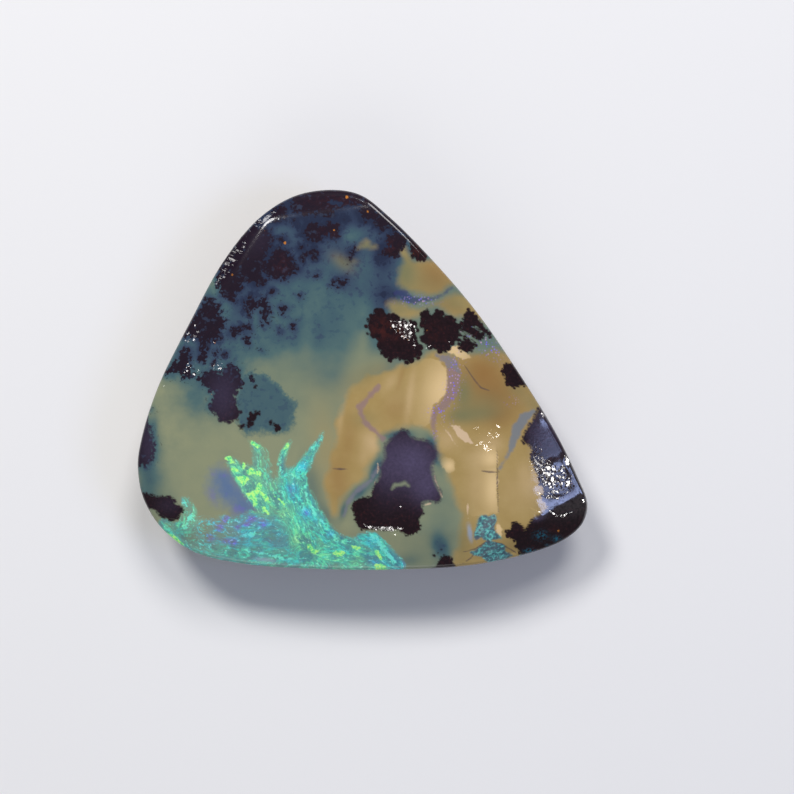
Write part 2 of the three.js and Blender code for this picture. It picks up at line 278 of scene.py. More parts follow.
# Ironstone: near-black iron minerals in lobed blotches, with swarms of small spots in the upper left.
BLOTCHES = [  # the size of the buds round the edge, and the outline
    (0.22, [(0.3, 2.9), (0.45, 3.2), (0.9, 3.3), (1.3, 3.2), (1.5, 2.95), (2.15, 2.9), (2.55, 2.65),
        (2.65, 2.25), (2.55, 1.9), (2.85, 1.6), (2.75, 1.2), (2.5, 1.0), (2.0, 0.9), (1.7, 1.1), (1.45, 0.9),
        (1.15, 1.2), (0.95, 1.35), (0.8, 1.8), (0.45, 2.2), (0.25, 2.55)]),
    (0.2, [(2.9, 3.3), (3.15, 3.45), (3.4, 3.2), (3.6, 3.35), (3.85, 3.4), (4.05, 3.1), (4.4, 3.0),
        (4.75, 2.75), (4.8, 2.3), (4.65, 1.9), (4.3, 1.6), (4.05, 1.35), (3.75, 1.5), (3.4, 1.6),
        (3.05, 1.75), (2.9, 2.1), (3.2, 2.45), (2.9, 2.6), (3.1, 2.9)]),
    (0.14, [(5.0, 3.0), (5.3, 3.45), (5.65, 3.1), (6.05, 2.6), (6.45, 2.1), (6.05, 2.25), (5.65, 2.6),
        (5.35, 2.55), (5.1, 2.4)]),
    (0.12, [(4.9, 1.9), (5.35, 1.9), (5.6, 1.75), (5.45, 1.55), (5.3, 1.35), (5.0, 1.35), (4.8, 1.6)]),
    (0.13, [(7.0, 0.7), (7.35, 0.8), (7.7, 0.4), (8.15, -0.25), (7.7, -0.35), (7.35, -0.4), (7.1, -0.2),
        (7.05, 0.15), (6.95, 0.35)]),
    (0.14, [(1.3, 7.15), (1.7, 7.25), (2.15, 7.15), (2.2, 6.8), (1.85, 6.45), (1.7, 6.1), (1.45, 6.05),
        (1.0, 6.15), (1.05, 6.4), (1.45, 6.55), (1.3, 6.8)]),
    (0.14, [(2.3, 7.0), (2.7, 6.9), (3.25, 6.3), (3.2, 6.05), (2.85, 5.85), (2.55, 6.05), (2.35, 6.45)]),
    (0.09, [(1.5, -2.85), (2.1, -2.5), (2.4, -2.85), (2.9, -3.0), (3.3, -3.1), (3.65, -3.6), (3.65, -3.95),
        (3.45, -4.25), (3.5, -4.8), (3.7, -5.35), (3.9, -5.8), (3.8, -6.1), (3.3, -6.05), (2.95, -6.15),
        (3.0, -6.65), (2.8, -7.0), (2.85, -7.4), (2.3, -7.75), (1.75, -7.5), (0.5, -7.45), (-0.2, -7.35),
        (-0.4, -6.75), (-0.5, -6.2), (-0.05, -5.85), (0.4, -5.8), (0.55, -5.3), (0.85, -4.85), (0.85, -4.35),
        (1.1, -3.85), (1.1, -3.35)]),
    (0.12, [(9.0, -1.3), (8.5, -2.0), (8.0, -2.75), (7.95, -3.05), (8.4, -3.4), (8.35, -3.9), (8.65, -4.5),
        (8.75, -5.1), (9.0, -5.5), (8.95, -5.9), (9.25, -6.45), (8.75, -6.75), (8.45, -6.95), (8.2, -7.4),
        (8.0, -7.55), (7.85, -7.2), (7.5, -7.15), (7.35, -7.45), (7.1, -7.65), (7.3, -7.9), (7.6, -8.05),
        (7.65, -8.4), (8.85, -9.3), (10.9, -8.6), (11.9, -6.8), (10.9, -3.5)]),
    (0.16, [(-8.1, -0.1), (-8.0, 0.25), (-7.6, 0.45), (-7.0, 0.3), (-6.6, 0.65), (-6.2, 0.5), (-6.0, 0.1),
        (-6.05, -0.4), (-6.3, -0.65), (-6.3, -1.05), (-6.1, -1.6), (-6.2, -1.95), (-6.6, -2.1), (-7.0, -2.1),
        (-7.3, -1.8), (-7.6, -1.5), (-7.5, -1.1), (-7.4, -0.7), (-7.8, -0.4)]),
    (0.12, [(-11.4, -5.6), (-10.4, -5.85), (-9.9, -5.85), (-9.5, -5.9), (-9.3, -6.25), (-8.9, -6.4),
        (-9.15, -6.8), (-9.5, -7.0), (-10.05, -6.85), (-10.5, -6.5), (-11.2, -6.6)]),
    (0.12, [(-11.0, -1.8), (-10.7, -2.35), (-10.5, -2.85), (-10.45, -3.35), (-10.55, -4.1), (-10.85, -4.3),
        (-11.6, -4.15), (-11.6, -2.5)]),
    (0.16, [(-7.2, 5.0), (-7.1, 4.5), (-6.85, 4.05), (-6.5, 4.1), (-6.3, 4.35), (-6.1, 4.45), (-5.95, 4.9),
        (-5.5, 4.8), (-5.0, 4.75), (-4.9, 5.0), (-5.1, 5.25), (-4.95, 5.7), (-4.8, 6.3), (-4.6, 6.7),
        (-4.6, 7.2), (-5.0, 7.6), (-5.6, 7.7), (-6.5, 7.0), (-7.2, 5.8)]),
    (0.15, [(-4.9, 5.6), (-4.6, 5.95), (-4.45, 6.3), (-4.1, 6.45), (-3.7, 6.3), (-3.55, 5.9), (-3.3, 5.6),
        (-3.45, 5.25), (-3.8, 5.15), (-4.1, 4.95), (-4.5, 5.05), (-4.8, 5.2)]),
    (0.12, [(-5.9, 3.9), (-5.7, 4.05), (-5.4, 3.95), (-5.2, 3.8), (-4.9, 4.1), (-4.75, 3.9), (-4.6, 3.6),
        (-4.65, 3.2), (-4.7, 2.8), (-4.95, 2.75), (-5.05, 3.2), (-5.1, 3.5), (-5.4, 3.45), (-5.6, 3.1),
        (-5.7, 3.4)]),
    (0.1, [(-6.6, 2.2), (-6.5, 2.55), (-6.2, 2.5), (-5.9, 2.6), (-5.6, 2.65), (-5.55, 2.4), (-5.9, 2.3),
        (-6.2, 2.2), (-6.45, 2.05)]),
    (0.16, [(-8.3, 3.2), (-7.9, 3.8), (-7.6, 4.0), (-7.4, 3.8), (-7.1, 3.5), (-7.2, 3.15), (-6.9, 2.9),
        (-6.85, 2.7), (-7.1, 2.4), (-7.05, 2.0), (-7.4, 1.9), (-7.7, 1.9), (-7.75, 1.5), (-7.8, 1.0),
        (-8.0, 0.85), (-8.1, 1.2), (-8.05, 1.8), (-8.4, 2.1), (-9.1, 2.1)]),
    (0.14, [(-9.9, 0.4), (-9.3, 0.95), (-9.0, 1.4), (-8.7, 1.4), (-8.6, 1.1), (-8.7, 0.8), (-8.5, 0.5),
        (-8.5, 0.2), (-8.8, 0.1), (-9.1, 0.3), (-9.5, 0.25)]),
    (0.16, [(-3.5, 8.6), (-3.5, 9.5), (-2.6, 9.7), (-1.0, 9.8), (-0.2, 9.5), (0.6, 8.9), (1.5, 8.1),
        (2.3, 7.3), (1.9, 7.25), (1.6, 7.45), (1.3, 7.6), (1.05, 7.45), (0.85, 7.55), (0.6, 7.9), (0.2, 7.95),
        (-0.1, 8.2), (-0.15, 8.65), (-0.5, 8.8), (-0.9, 8.85), (-1.1, 8.65), (-1.5, 8.5), (-1.7, 8.1),
        (-1.9, 8.1), (-2.1, 8.4), (-2.6, 8.2), (-2.9, 8.3), (-3.2, 8.35)]),
    (0.14, [(-2.85, 7.3), (-2.5, 7.75), (-2.1, 7.6), (-1.7, 7.75), (-1.3, 7.7), (-1.15, 7.4), (-1.4, 7.1),
        (-1.7, 7.25), (-2.1, 7.0), (-2.4, 6.9), (-2.7, 7.0)]),
    (0.12, [(-4.6, 8.1), (-4.3, 8.6), (-3.9, 8.65), (-3.8, 8.4), (-3.95, 8.1), (-4.25, 7.9)]),
    (0.1, [(3.6, -9.6), (3.85, -8.95), (4.1, -8.75), (4.4, -8.95), (4.6, -9.6)]),
    (0.1, [(4.95, 2.75), (5.3, 2.65), (5.65, 2.5), (6.0, 2.1), (5.75, 1.95), (5.4, 2.2), (5.05, 2.35)]),
]
SPOTS = [
    (-3.05, 6.5, 0.16), (-2.9, 6.2, 0.18), (-3.0, 5.95, 0.15), (-2.45, 6.35, 0.2), (-2.4, 6.1, 0.17),
    (-4.05, 6.9, 0.12), (-0.6, 6.3, 0.14), (-0.4, 6.45, 0.12), (-0.65, 5.95, 0.1), (-1.05, 4.7, 0.25),
    (-0.85, 4.95, 0.13), (-1.45, 4.75, 0.12), (-5.75, 2.05, 0.17), (-5.75, 1.8, 0.15), (-3.95, 3.45, 0.2),
    (-3.45, 2.65, 0.13), (-6.85, 1.2, 0.12), (-7.3, 1.3, 0.15), (-5.5, 0.0, 0.17), (-5.3, -0.4, 0.12),
    (-5.45, -1.9, 0.25), (-5.2, -1.7, 0.15), (-5.6, -2.2, 0.18), (-6.0, -2.35, 0.15), (-4.55, -2.15, 0.14),
    (-4.15, -2.45, 0.18), (-4.3, -2.3, 0.14), (-7.4, 0.75, 0.16), (-7.15, 0.6, 0.12), (-4.5, 4.35, 0.12),
    (-6.35, 3.9, 0.1), (-10.6, -1.5, 0.1), (3.55, -8.75, 0.1), (2.2, 0.8, 0.09), (1.65, 3.1, 0.08),
    (3.55, -8.35, 0.03), (-2.3, 5.1, 0.07), (-3.1, 4.1, 0.08), (-4.0, 2.4, 0.07), (3.9, -8.5, 0.07),
    (3.75, -8.65, 0.05), (-5.0, 1.4, 0.08), (5.0, 2.5, 0.15), (5.1, 2.1, 0.12), (4.85, 2.2, 0.1),
    (5.5, 2.2, 0.08), (-8.85, 2.35, 0.2), (-9.4, 0.7, 0.2), (-5.35, 7.9, 0.2), (-3.4, 7.9, 0.09),
    (-0.9, 7.95, 0.1),
]
GAPS = [
    [(1.45, -5.45, 0.02), (1.6, -5.25, 0.07), (1.9, -5.22, 0.05), (2.1, -5.15, 0.06), (2.3, -5.3, 0.0)],
    [(-1.6, 8.85, 0.08), (-1.2, 8.75, 0.12)], [(0.25, 7.45, 0.1), (0.65, 7.3, 0.1)],
]
TEAL_IN_IRON = [
    (8.9, -7.8, 0.3, 0.22, 0.9), (9.72, -8.0, 0.2, 0.14, 0.9), (8.4, -8.6, 0.3, 0.12, 1.0),
    (9.3, -8.35, 0.15, 0.1, 0.5),
]
UPPER_LEFT = (0.9, 3.5, 6.0)  # it begins and is full where y less this times x reaches these
IRON_SEED = 11
BUDS_APART, FEWEST_BUDS = 1.3, 6  # buds stand this many of their own sizes apart
SPOT_PARTS = 6  # a spot is a core and five smaller ones on its edge
CORE_SIZE, PART_SIZES = 0.85, (0.35, 0.6)  # their sizes, as shares of the spot's


def budding(points, size, rng):
    """A closed curve through the points with round buds of about this size along it, as iron minerals grow:
    random discs at evenly spaced places on the curve."""
    length = np.linalg.norm(np.diff(np.array(points + points[:1]), axis=0), axis=1).sum()
    along = closed_curve(points, max(FEWEST_BUDS, int(length / size / BUDS_APART)))
    at = along + rng.normal(0, size / 4, along.shape)
    radii = size * rng.uniform(0.45, 1.0, len(along))
    return np.maximum(inside(points), discs(np.column_stack([at, radii])))


def clusters(spots, rng):
    """Round spots, each a disc ringed with smaller ones at random places on its edge."""
    whole = np.repeat(np.array(spots), SPOT_PARTS, axis=0)
    way = rng.uniform(0, 2 * np.pi, len(whole))
    small = np.arange(len(whole)) % SPOT_PARTS > 0
    whole[:, 0] += small * CORE_SIZE * whole[:, 2] * np.cos(way)
    whole[:, 1] += small * CORE_SIZE * whole[:, 2] * np.sin(way)
    whole[:, 2] *= np.where(small, rng.uniform(*PART_SIZES, len(whole)), CORE_SIZE)
    return discs(whole)


rng = np.random.default_rng(IRON_SEED)
ironstone = clusters(SPOTS, rng)
for bud, points in BLOTCHES:
    ironstone = np.maximum(ironstone, budding(points, bud, rng))
for points in GAPS:
    ironstone = np.minimum(ironstone, -stroke(points)[0])
upper_left = smoothstep(plan[:, 1] - UPPER_LEFT[0] * plan[:, 0], *UPPER_LEFT[1:])
mark("ironstone", ironstone)
mark("upper_left", upper_left)
mark("teal_in_iron", clouds(TEAL_IN_IRON))
mark("below_rim", below_rim)

# The milky veil where a blotch lies a little under the surface, which also paints the bluish sheen seen on
# these blotches, and the rusty and gold grains in the iron, some of the gold ones painted glints.
VEILS_AND_SHEEN = [
    (2.5, -4.1, 1.4, 1.3, 0.95, -30), (1.2, -4.2, 0.8, 1.5, 0.5), (3.2, -5.3, 0.8, 0.9, 0.8),
    (-6.9, -0.9, 0.8, 1.4, 0.35), (9.0, -2.6, 1.2, 0.9, 0.35, -60), (8.8, -6.9, 0.3, 0.15, 0.6, 20),
    (-10.6, -3.2, 0.5, 1.5, 0.3), (-9.7, -6.3, 0.7, 0.5, 0.2), (-5.0, 6.9, 0.5, 0.9, 0.12, -40),
]
# Gold grains in the iron; the small ones among the glints on the blotch above the middle are painted golden
# glints.
GRAINS_AND_GLINTS = [
    (-3.87, 6.78, 0.09), (-1.43, 7.42, 0.07), (-0.8, 9.1, 0.1), (0.25, 8.35, 0.08), (2.53, 6.25, 0.05),
    (-6.5, 5.2, 0.07), (-6.05, 5.8, 0.04), (-7.35, 1.8, 0.06), (-7.47, -0.75, 0.05), (9.8, -7.6, 0.08),
    (-4.9, 7.4, 0.04), (3.2, 2.4, 0.06), (1.4, 2.55, 0.05), (1.75, 2.4, 0.06), (2.05, 2.1, 0.06),
    (2.25, 1.95, 0.05), (2.65, -5.35, 0.03), (10.0, -4.6, 0.05), (10.45, -5.2, 0.05),
]
RUST = [
    (0.9, 2.5, 0.45, 0.5, 0.9), (1.7, 2.3, 0.5, 0.4, 0.4), (2.8, 6.3, 0.3, 0.4, 0.8),
    (1.4, 6.6, 0.3, 0.4, 0.5), (-1.6, 7.4, 0.6, 0.3, 0.4), (-1.4, 8.9, 1.5, 0.4, 0.3),
    (-4.0, 5.7, 0.4, 0.5, 0.4), (9.6, -7.6, 0.4, 0.2, 0.4), (3.6, 2.3, 0.5, 0.5, 0.3),
]
mark("veil_and_sheen", clouds(VEILS_AND_SHEEN))
mark("rust", clouds(RUST))
mark("grains_and_glints", discs(GRAINS_AND_GLINTS))

# Potch, the opal without fire: olive low on the left, turning through grey-green to a deep blue at the top,
# where fine iron hangs in it like ink.
HAZE_BY_HEIGHT = [
    (-3.6, 0.0), (-1.2, 0.12), (0.4, 0.26), (1.4, 0.4), (4.0, 0.48), (5.5, 0.6), (7.2, 0.72), (9.0, 0.85),
]
HAZE_LEAN = 0.15  # how far its levels fall for each mm to the right
HAZE = [
    (-10.6, -4.8, 0.8, 1.4, 0.45), (-10.4, -2.4, 0.3, 0.7, 0.35), (-8.3, -1.2, 0.8, 1.1, 0.3, 20),
    (-8.0, 1.6, 1.8, 1.4, 0.45, 50), (-6.1, 3.5, 0.5, 0.9, 0.45), (-5.3, 4.5, 0.8, 0.5, 0.35),
    (-4.9, 6.4, 1.9, 1.8, 0.4, 50), (-2.0, 7.9, 2.6, 1.0, 0.27), (0.95, 6.0, 0.4, 0.7, 0.55),
    (1.2, 4.3, 0.9, 0.5, 0.5), (0.9, 3.7, 0.4, 0.4, 0.3), (-4.2, 2.0, 1.0, 0.6, 0.25),
    (-3.4, 2.2, 0.35, 0.6, 0.25), (-2.2, 2.3, 0.35, 0.8, 0.25), (-1.6, 2.9, 0.6, 0.7, 0.2),
    (-6.2, 1.2, 0.9, 0.6, 0.3), (-2.3, 5.4, 0.9, 0.5, 0.2), (-1.8, 0.2, 0.8, 0.8, 0.15),
    (0.0, 2.6, 0.25, 0.4, 0.35), (4.0, -7.4, 1.3, 2.2, 0.18), (-0.6, 4.3, 1.4, 1.2, 0.12),
    (-2.5, -5.2, 0.5, 1.2, 0.25, 15), (-1.8, -6.7, 0.35, 0.8, 0.3, 35), (0.65, -4.5, 0.3, 0.8, 0.5, -20),
    (-0.2, -5.6, 0.3, 0.6, 0.5, -50), (-0.95, -6.5, 0.2, 0.5, 0.45, -15), (1.2, 5.5, 0.7, 1.0, 0.4),
    (1.2, 4.15, 0.7, 0.4, 0.5), (3.6, -3.4, 0.3, 0.5, 0.4, 30), (4.2, -3.65, 0.35, 0.15, 0.35),
    (3.9, -8.3, 0.4, 0.7, 0.5, 20), (2.3, -9.0, 0.7, 0.4, 0.25), (6.0, 1.9, 0.6, 0.4, 0.15, -50),
    (2.75, 4.92, 0.1, 0.25, 0.75, 35), (1.7, -2.75, 0.9, 0.25, 0.45), (3.6, -3.7, 0.25, 0.9, 0.4, 20),
]
CLEARINGS = [
    (-7.35, 4.6, 0.3, 0.45, 0.55), (-6.95, 3.3, 0.3, 0.4, 0.35), (-3.0, 3.8, 1.0, 0.5, 0.2),
    (-0.6, 7.1, 0.9, 0.5, 0.3), (-2.3, 4.8, 0.8, 0.4, 0.1), (-0.2, 1.0, 0.6, 1.9, 0.45, -5),
    (5.6, 2.2, 0.8, 0.8, 0.4), (-4.2, 7.4, 0.6, 0.3, 0.2), (0.9, 1.0, 0.9, 0.5, 0.6, 15),
    (0.05, 2.2, 0.25, 1.1, 0.35),
]
HAZE_LOBE = [
    (-5.8, 0.35), (-5.0, 0.45), (-4.65, 0.2), (-4.4, -0.1), (-4.0, -0.3), (-3.7, -0.7), (-3.45, -1.0),
    (-3.3, -1.6), (-3.5, -2.3), (-3.9, -2.65), (-5.0, -2.7), (-6.0, -2.5), (-6.4, -1.0),
]
THINNER, THINNER_FROM = 0.5, (1.2, 2.6)  # it is thinner by this share to the right of these
IRON_HALO = 0.2  # how far the haze reaches round the ironstone

heights, amounts = np.array(HAZE_BY_HEIGHT).T
haze = np.interp(plan[:, 1] + HAZE_LEAN * plan[:, 0], heights, amounts)
haze *= 1 - THINNER * smoothstep(plan[:, 0], *THINNER_FROM)
haze = 1 - (1 - haze) * (1 - clouds(HAZE))
halo = (0.08 + 0.2 * upper_left) * np.exp(np.minimum(ironstone, 0) / IRON_HALO)
mark("haze", haze * (1 - clouds(CLEARINGS)) + halo)
mark("haze_lobe", inside(HAZE_LOBE))

# Amber: honey-coloured opal on the right, with paler cream slabs, chips and a column beside a sharp break,
# and patches of teal where it lies open.
AMBERS = [
    [(0.75, 0.35), (1.75, 0.7), (2.75, 1.0), (3.35, 1.35), (4.1, 1.35), (4.6, 1.15), (5.6, 1.35),
        (6.45, 1.45), (7.15, 1.3), (9.0, -0.8), (10.0, -2.0), (12.0, -7.0), (10.0, -10.0), (4.45, -10.0),
        (4.8, -7.55), (4.75, -6.3), (4.3, -5.05), (3.8, -3.8), (3.5, -2.85), (2.85, -2.45), (2.1, -2.35),
        (1.35, -2.65), (0.85, -3.0), (0.8, -3.5), (0.35, -4.3), (0.1, -4.9), (-0.5, -5.5), (-0.95, -6.05),
        (-1.15, -6.7), (-1.55, -6.9), (-1.75, -6.3), (-1.95, -5.6), (-2.0, -5.0), (-1.75, -4.4),
        (-1.75, -3.7), (-1.4, -2.9), (-1.4, -2.1), (-1.0, -1.3), (-0.75, -0.6), (-0.2, -0.1), (0.2, 0.35)],
    [(1.85, 6.6), (2.6, 5.95), (3.1, 5.9), (4.35, 6.1), (5.5, 4.7), (4.4, 4.65), (3.9, 4.3), (3.2, 4.1),
        (2.5, 4.25), (1.75, 4.65), (1.75, 5.3), (1.95, 5.9)],
    [(1.25, 3.75), (1.85, 3.85), (2.35, 3.65), (3.05, 3.65), (3.85, 3.9), (4.6, 4.3), (5.8, 3.9), (6.4, 2.7),
        (5.35, 3.05), (4.6, 3.05), (4.1, 3.35), (3.65, 3.65), (3.25, 3.5), (2.75, 3.05), (2.1, 2.95),
        (1.5, 3.15)],
    [(-0.25, 6.5), (-0.1, 6.72), (0.25, 6.86), (0.4, 6.68), (0.62, 6.58), (0.2, 6.48)],
]
TEAL_PATCHES = [
    [(5.75, -6.9), (5.85, -6.78), (6.1, -6.72), (6.25, -6.8), (6.5, -6.72), (6.62, -6.85), (6.6, -7.2),
        (6.55, -7.45), (6.75, -7.7), (6.95, -7.95), (6.5, -7.95), (6.2, -8.05), (5.9, -7.9), (5.6, -7.95),
        (5.5, -7.7), (5.65, -7.3)],
    [(5.35, -8.6), (5.75, -8.4), (6.0, -8.25), (6.15, -8.08), (6.5, -8.1), (6.9, -8.2), (7.1, -8.35),
        (7.15, -8.6), (7.5, -8.8), (7.2, -9.0), (6.7, -9.2), (6.2, -9.1), (5.9, -8.85), (5.6, -8.8)],
    [(7.8, -8.95), (7.9, -8.75), (8.15, -8.65), (8.5, -8.6), (8.4, -8.75), (8.1, -8.85)],
]
AMBER_WASH = [
    (-1.0, 5.8, 0.55, 0.3, 0.55, -35), (-0.45, 5.85, 0.25, 0.15, 0.3), (-1.7, -3.6, 0.8, 2.6, 0.4, 10),
    (-0.2, -0.2, 1.1, 0.7, 0.4, 40), (0.8, 0.5, 0.8, 0.4, 0.3, 20),
]
CREAMS = [  # the outline, then where its colour is fullest
    ([(3.2, 1.0), (3.65, 1.0), (4.05, 0.65), (4.2, 0.1), (4.15, -0.6), (3.9, -1.0), (3.5, -1.35),
        (3.35, -2.1), (3.0, -2.4), (2.5, -2.2), (2.2, -1.2), (2.2, -0.2), (2.6, 0.6)],
        (4.0, -0.5, 1.0, 1.7, 1.0, -14)),
    ([(6.6, -3.3), (6.66, -3.4), (6.67, -4.2), (6.68, -5.0), (6.7, -5.8), (6.74, -6.5), (6.7, -6.62),
        (6.5, -6.65), (6.1, -6.75), (5.4, -6.8), (5.1, -5.8), (5.0, -4.4), (5.4, -3.4), (6.2, -3.3)],
        (6.5, -5.4, 0.55, 1.3, 1.0)),
    # This piece at the top of the column is partly a painted pale wash of light round the glints there.
    ([(6.05, -3.55), (6.6, -3.6), (6.66, -4.3), (6.3, -4.42), (5.95, -4.2)], (6.4, -3.95, 0.5, 0.5, 1.0)),
    ([(3.9, -3.95), (4.35, -3.9), (4.6, -4.4), (4.35, -4.65), (4.05, -4.45)], (4.3, -4.3, 0.35, 0.35, 1.0)),
    ([(4.2, 1.4), (4.55, 1.65), (4.9, 1.5), (5.35, 1.1), (5.0, 1.0), (4.6, 1.15)], (4.6, 1.4, 1.0, 1.0, 1.0)),
    ([(6.65, -7.2), (6.85, -7.25), (6.9, -7.8), (6.7, -7.7)], (6.8, -7.5, 1.0, 1.0, 1.0)),
]
# Paler amber, and a painted sheen of light: the lobes by the glints above the column and on the right
# shoulder.
PALE_AMBER_AND_SHEEN = [
    (6.4, -3.2, 0.6, 0.45, 0.5), (0.5, -3.15, 0.45, 0.65, 0.75, 25), (0.05, -3.8, 0.3, 0.6, 0.3, -10),
    (2.35, -0.8, 0.18, 1.4, 0.5, -8), (-1.05, -1.7, 0.15, 1.2, 0.35, -8), (1.4, -0.1, 0.25, 0.5, 0.35, -35),
    (1.9, -0.9, 0.9, 0.9, 0.12), (5.9, -3.9, 0.8, 0.5, 0.35), (7.4, -5.6, 0.8, 1.1, 0.2),
    (5.6, -5.2, 0.5, 1.4, 0.35), (4.2, -3.0, 0.6, 0.5, 0.45), (8.4, -5.3, 0.6, 0.8, 0.5),
    (8.0, -4.6, 0.3, 0.6, 0.3),
]
DEEP_AMBER = [
    (6.4, -0.6, 1.9, 1.7, 0.6, -40), (5.9, 0.3, 0.9, 0.9, 0.7, -30), (6.6, -0.7, 0.9, 0.7, 0.5, -40),
    (3.6, 5.1, 1.1, 0.9, 0.75, -40), (-1.2, -5.0, 0.5, 1.1, 0.45, 10), (-0.7, -3.0, 0.4, 1.2, 0.35, -5),
    (1.6, -1.5, 0.6, 0.6, 0.3, 20), (1.9, 0.1, 0.12, 0.7, 0.35, -15), (4.2, 3.6, 1.2, 0.4, 0.4, -20),
    (6.7, -1.8, 0.7, 0.5, 0.5),
]
GREEN_AMBER = [
    (5.0, -0.7, 0.45, 0.9, 0.85), (6.0, -1.2, 1.2, 0.7, 0.45), (4.9, -1.8, 0.8, 0.4, 0.85),
    (2.1, 5.3, 0.7, 1.2, 0.95), (3.3, 4.6, 1.2, 1.0, 0.35), (3.0, 3.6, 2.0, 0.4, 0.3),
    (4.6, 4.45, 0.5, 0.25, 0.6, -30), (1.7, 3.4, 0.7, 0.4, 0.55), (4.6, 3.8, 0.9, 0.5, 0.45, -20),
    (-0.6, -6.4, 0.6, 0.7, 0.6), (0.1, 0.3, 1.2, 0.5, 0.5, 30), (4.9, -7.8, 0.5, 1.4, 0.5),
    (8.6, -1.3, 0.8, 0.4, 0.4, -40), (6.2, 1.4, 0.9, 0.4, 0.5, -30), (-0.9, 5.8, 0.9, 0.6, 0.9),
    (0.2, 6.6, 0.7, 0.4, 0.9), (5.9, -1.7, 0.9, 0.4, 0.6), (0.1, -2.0, 0.6, 0.4, 0.3),
    (7.6, -0.4, 0.6, 0.4, 0.4, -40),
]
PATCH_BORDER = (0.1, -2)  # how far the amber stands back from the patches: a start and a slope of their depth


def areas(outlines):
    """How far in the nearest of many closed curves each place is."""
    return np.max([inside(points) for points in outlines], axis=0)


patches = areas(TEAL_PATCHES)
mark("patches", patches)
mark("amber", np.minimum(areas(AMBERS), PATCH_BORDER[0] + PATCH_BORDER[1] * patches))
mark("cream", areas([points for points, lobe in CREAMS]))
mark("cream_full", np.max([clouds([lobe]) for points, lobe in CREAMS], axis=0))
mark("amber_wash", clouds(AMBER_WASH))
mark("deep", clouds(DEEP_AMBER))
mark("pale_and_sheen", clouds(PALE_AMBER_AND_SHEEN))
mark("green", clouds(GREEN_AMBER))

# Chips and smears of whitish opal beside the column, and the pale line round the big blotch.
WHITES = [
    [(3.85, -2.15, 0.01), (4.3, -2.75, 0.03), (4.65, -3.3, 0.02), (4.9, -3.45, 0.01)],
    [(3.0, -6.25, 0.04), (3.35, -6.15, 0.05)], [(5.2, -6.2, 0.04), (5.22, -6.9, 0.03)],
    [(3.5, -4.3, 0.02), (3.6, -5.0, 0.03), (3.95, -5.85, 0.02)],
    [(0.75, -3.9, 0.02), (0.78, -4.5, 0.03), (0.6, -5.2, 0.02)],
]
PEACH = [
    (4.35, -2.3), (4.75, -2.32), (4.95, -2.5), (5.2, -2.7), (5.3, -2.95), (5.5, -3.2), (5.1, -3.12),
    (4.75, -2.9), (4.6, -2.6),
]


def bands(lines):
    """How far in the nearest of many bands each place is."""
    return np.max([stroke(points)[0] for points in lines], axis=0)


mark("white", np.maximum(inside(PEACH), bands(WHITES)))

# Veins: thin seams of lilac and blue opal that healed cracks in the amber, and a few cracks still open.
VEINS = [  # how blue each is, then its line and half-widths
    (1.0, [(1.7, 4.3, 0.12), (2.0, 4.25, 0.18), (2.3, 4.02, 0.18), (2.6, 3.88, 0.16), (3.0, 3.92, 0.12),
        (3.5, 4.02, 0.06), (4.0, 4.2, 0.04), (4.45, 4.55, 0.02)]),
    (0.5, [(3.7, 1.15, 0.08), (4.15, 1.0, 0.2), (4.45, 0.7, 0.3), (4.6, 0.4, 0.25)]),
    (0.2, [(4.5, 0.5, 0.3), (4.55, -0.1, 0.3), (4.4, -0.75, 0.24), (4.0, -1.3, 0.17), (3.6, -1.6, 0.14),
        (3.5, -2.2, 0.08), (3.55, -2.95, 0.05)]),
    (0.15, [(0.8, -0.35, 0.07), (0.35, -0.85, 0.1), (-0.15, -1.4, 0.12), (0.05, -2.05, 0.1), (0.5, -2.5, 0.1),
        (1.05, -2.95, 0.1)]),
    (0.5, [(0.8, -4.3, 0.04), (0.45, -5.0, 0.06), (-0.2, -5.45, 0.08), (-0.7, -6.05, 0.05),
        (-0.95, -6.8, 0.02)]),
    (0.7, [(8.5, -1.6, 0.05), (8.0, -1.95, 0.25), (7.65, -2.5, 0.25), (7.45, -3.2, 0.14), (7.2, -3.8, 0.05),
        (6.8, -4.4, 0.03)]),
]
CRACKS = [
    [(5.05, 0.7, 0.01), (5.45, 0.1, 0.02), (5.85, -0.42, 0.025), (6.3, -0.57, 0.01)],
    [(-1.5, -4.42, 0.01), (-1.1, -4.45, 0.035), (-0.7, -4.45, 0.01)],
    [(5.9, -4.55, 0.02), (6.3, -4.6, 0.04), (6.8, -4.6, 0.01)],
    [(6.67, -3.5, 0.01), (6.68, -5.2, 0.03), (6.75, -6.6, 0.02)],
    [(5.0, -8.6, 0.01), (5.6, -8.45, 0.03), (6.15, -8.1, 0.03)],
    [(6.2, -8.05, 0.02), (6.9, -8.2, 0.03), (7.7, -8.7, 0.02)],
    [(4.9, -9.25, 0.01), (5.4, -8.9, 0.03), (5.6, -8.6, 0.01)],
]
GLITTER = [
    (4.45, -0.3, 0.35, 1.4, 0.9, -8), (2.7, 3.9, 0.8, 0.2, 0.8), (6.2, 1.6, 0.7, 0.35, 0.9, -40),
    (3.7, -1.6, 0.4, 0.3, 0.8), (5.3, 2.5, 0.5, 0.5, 0.5), (7.4, -1.1, 0.3, 0.2, 0.4),
    (6.2, -7.7, 0.5, 0.4, 0.4), (3.6, -2.6, 0.15, 0.4, 0.4),
]
vein = np.full(len(plan), -FURTHEST)
vein_blue = np.zeros(len(plan))
for blue, points in VEINS:
    depth, _, _ = stroke(points)
    vein_blue = np.where(depth > vein, blue, vein_blue)
    vein = np.maximum(vein, depth)
mark("vein", vein)
mark("vein_blue", vein_blue)
mark("crack", bands(CRACKS))
mark("glitter", clouds(GLITTER))

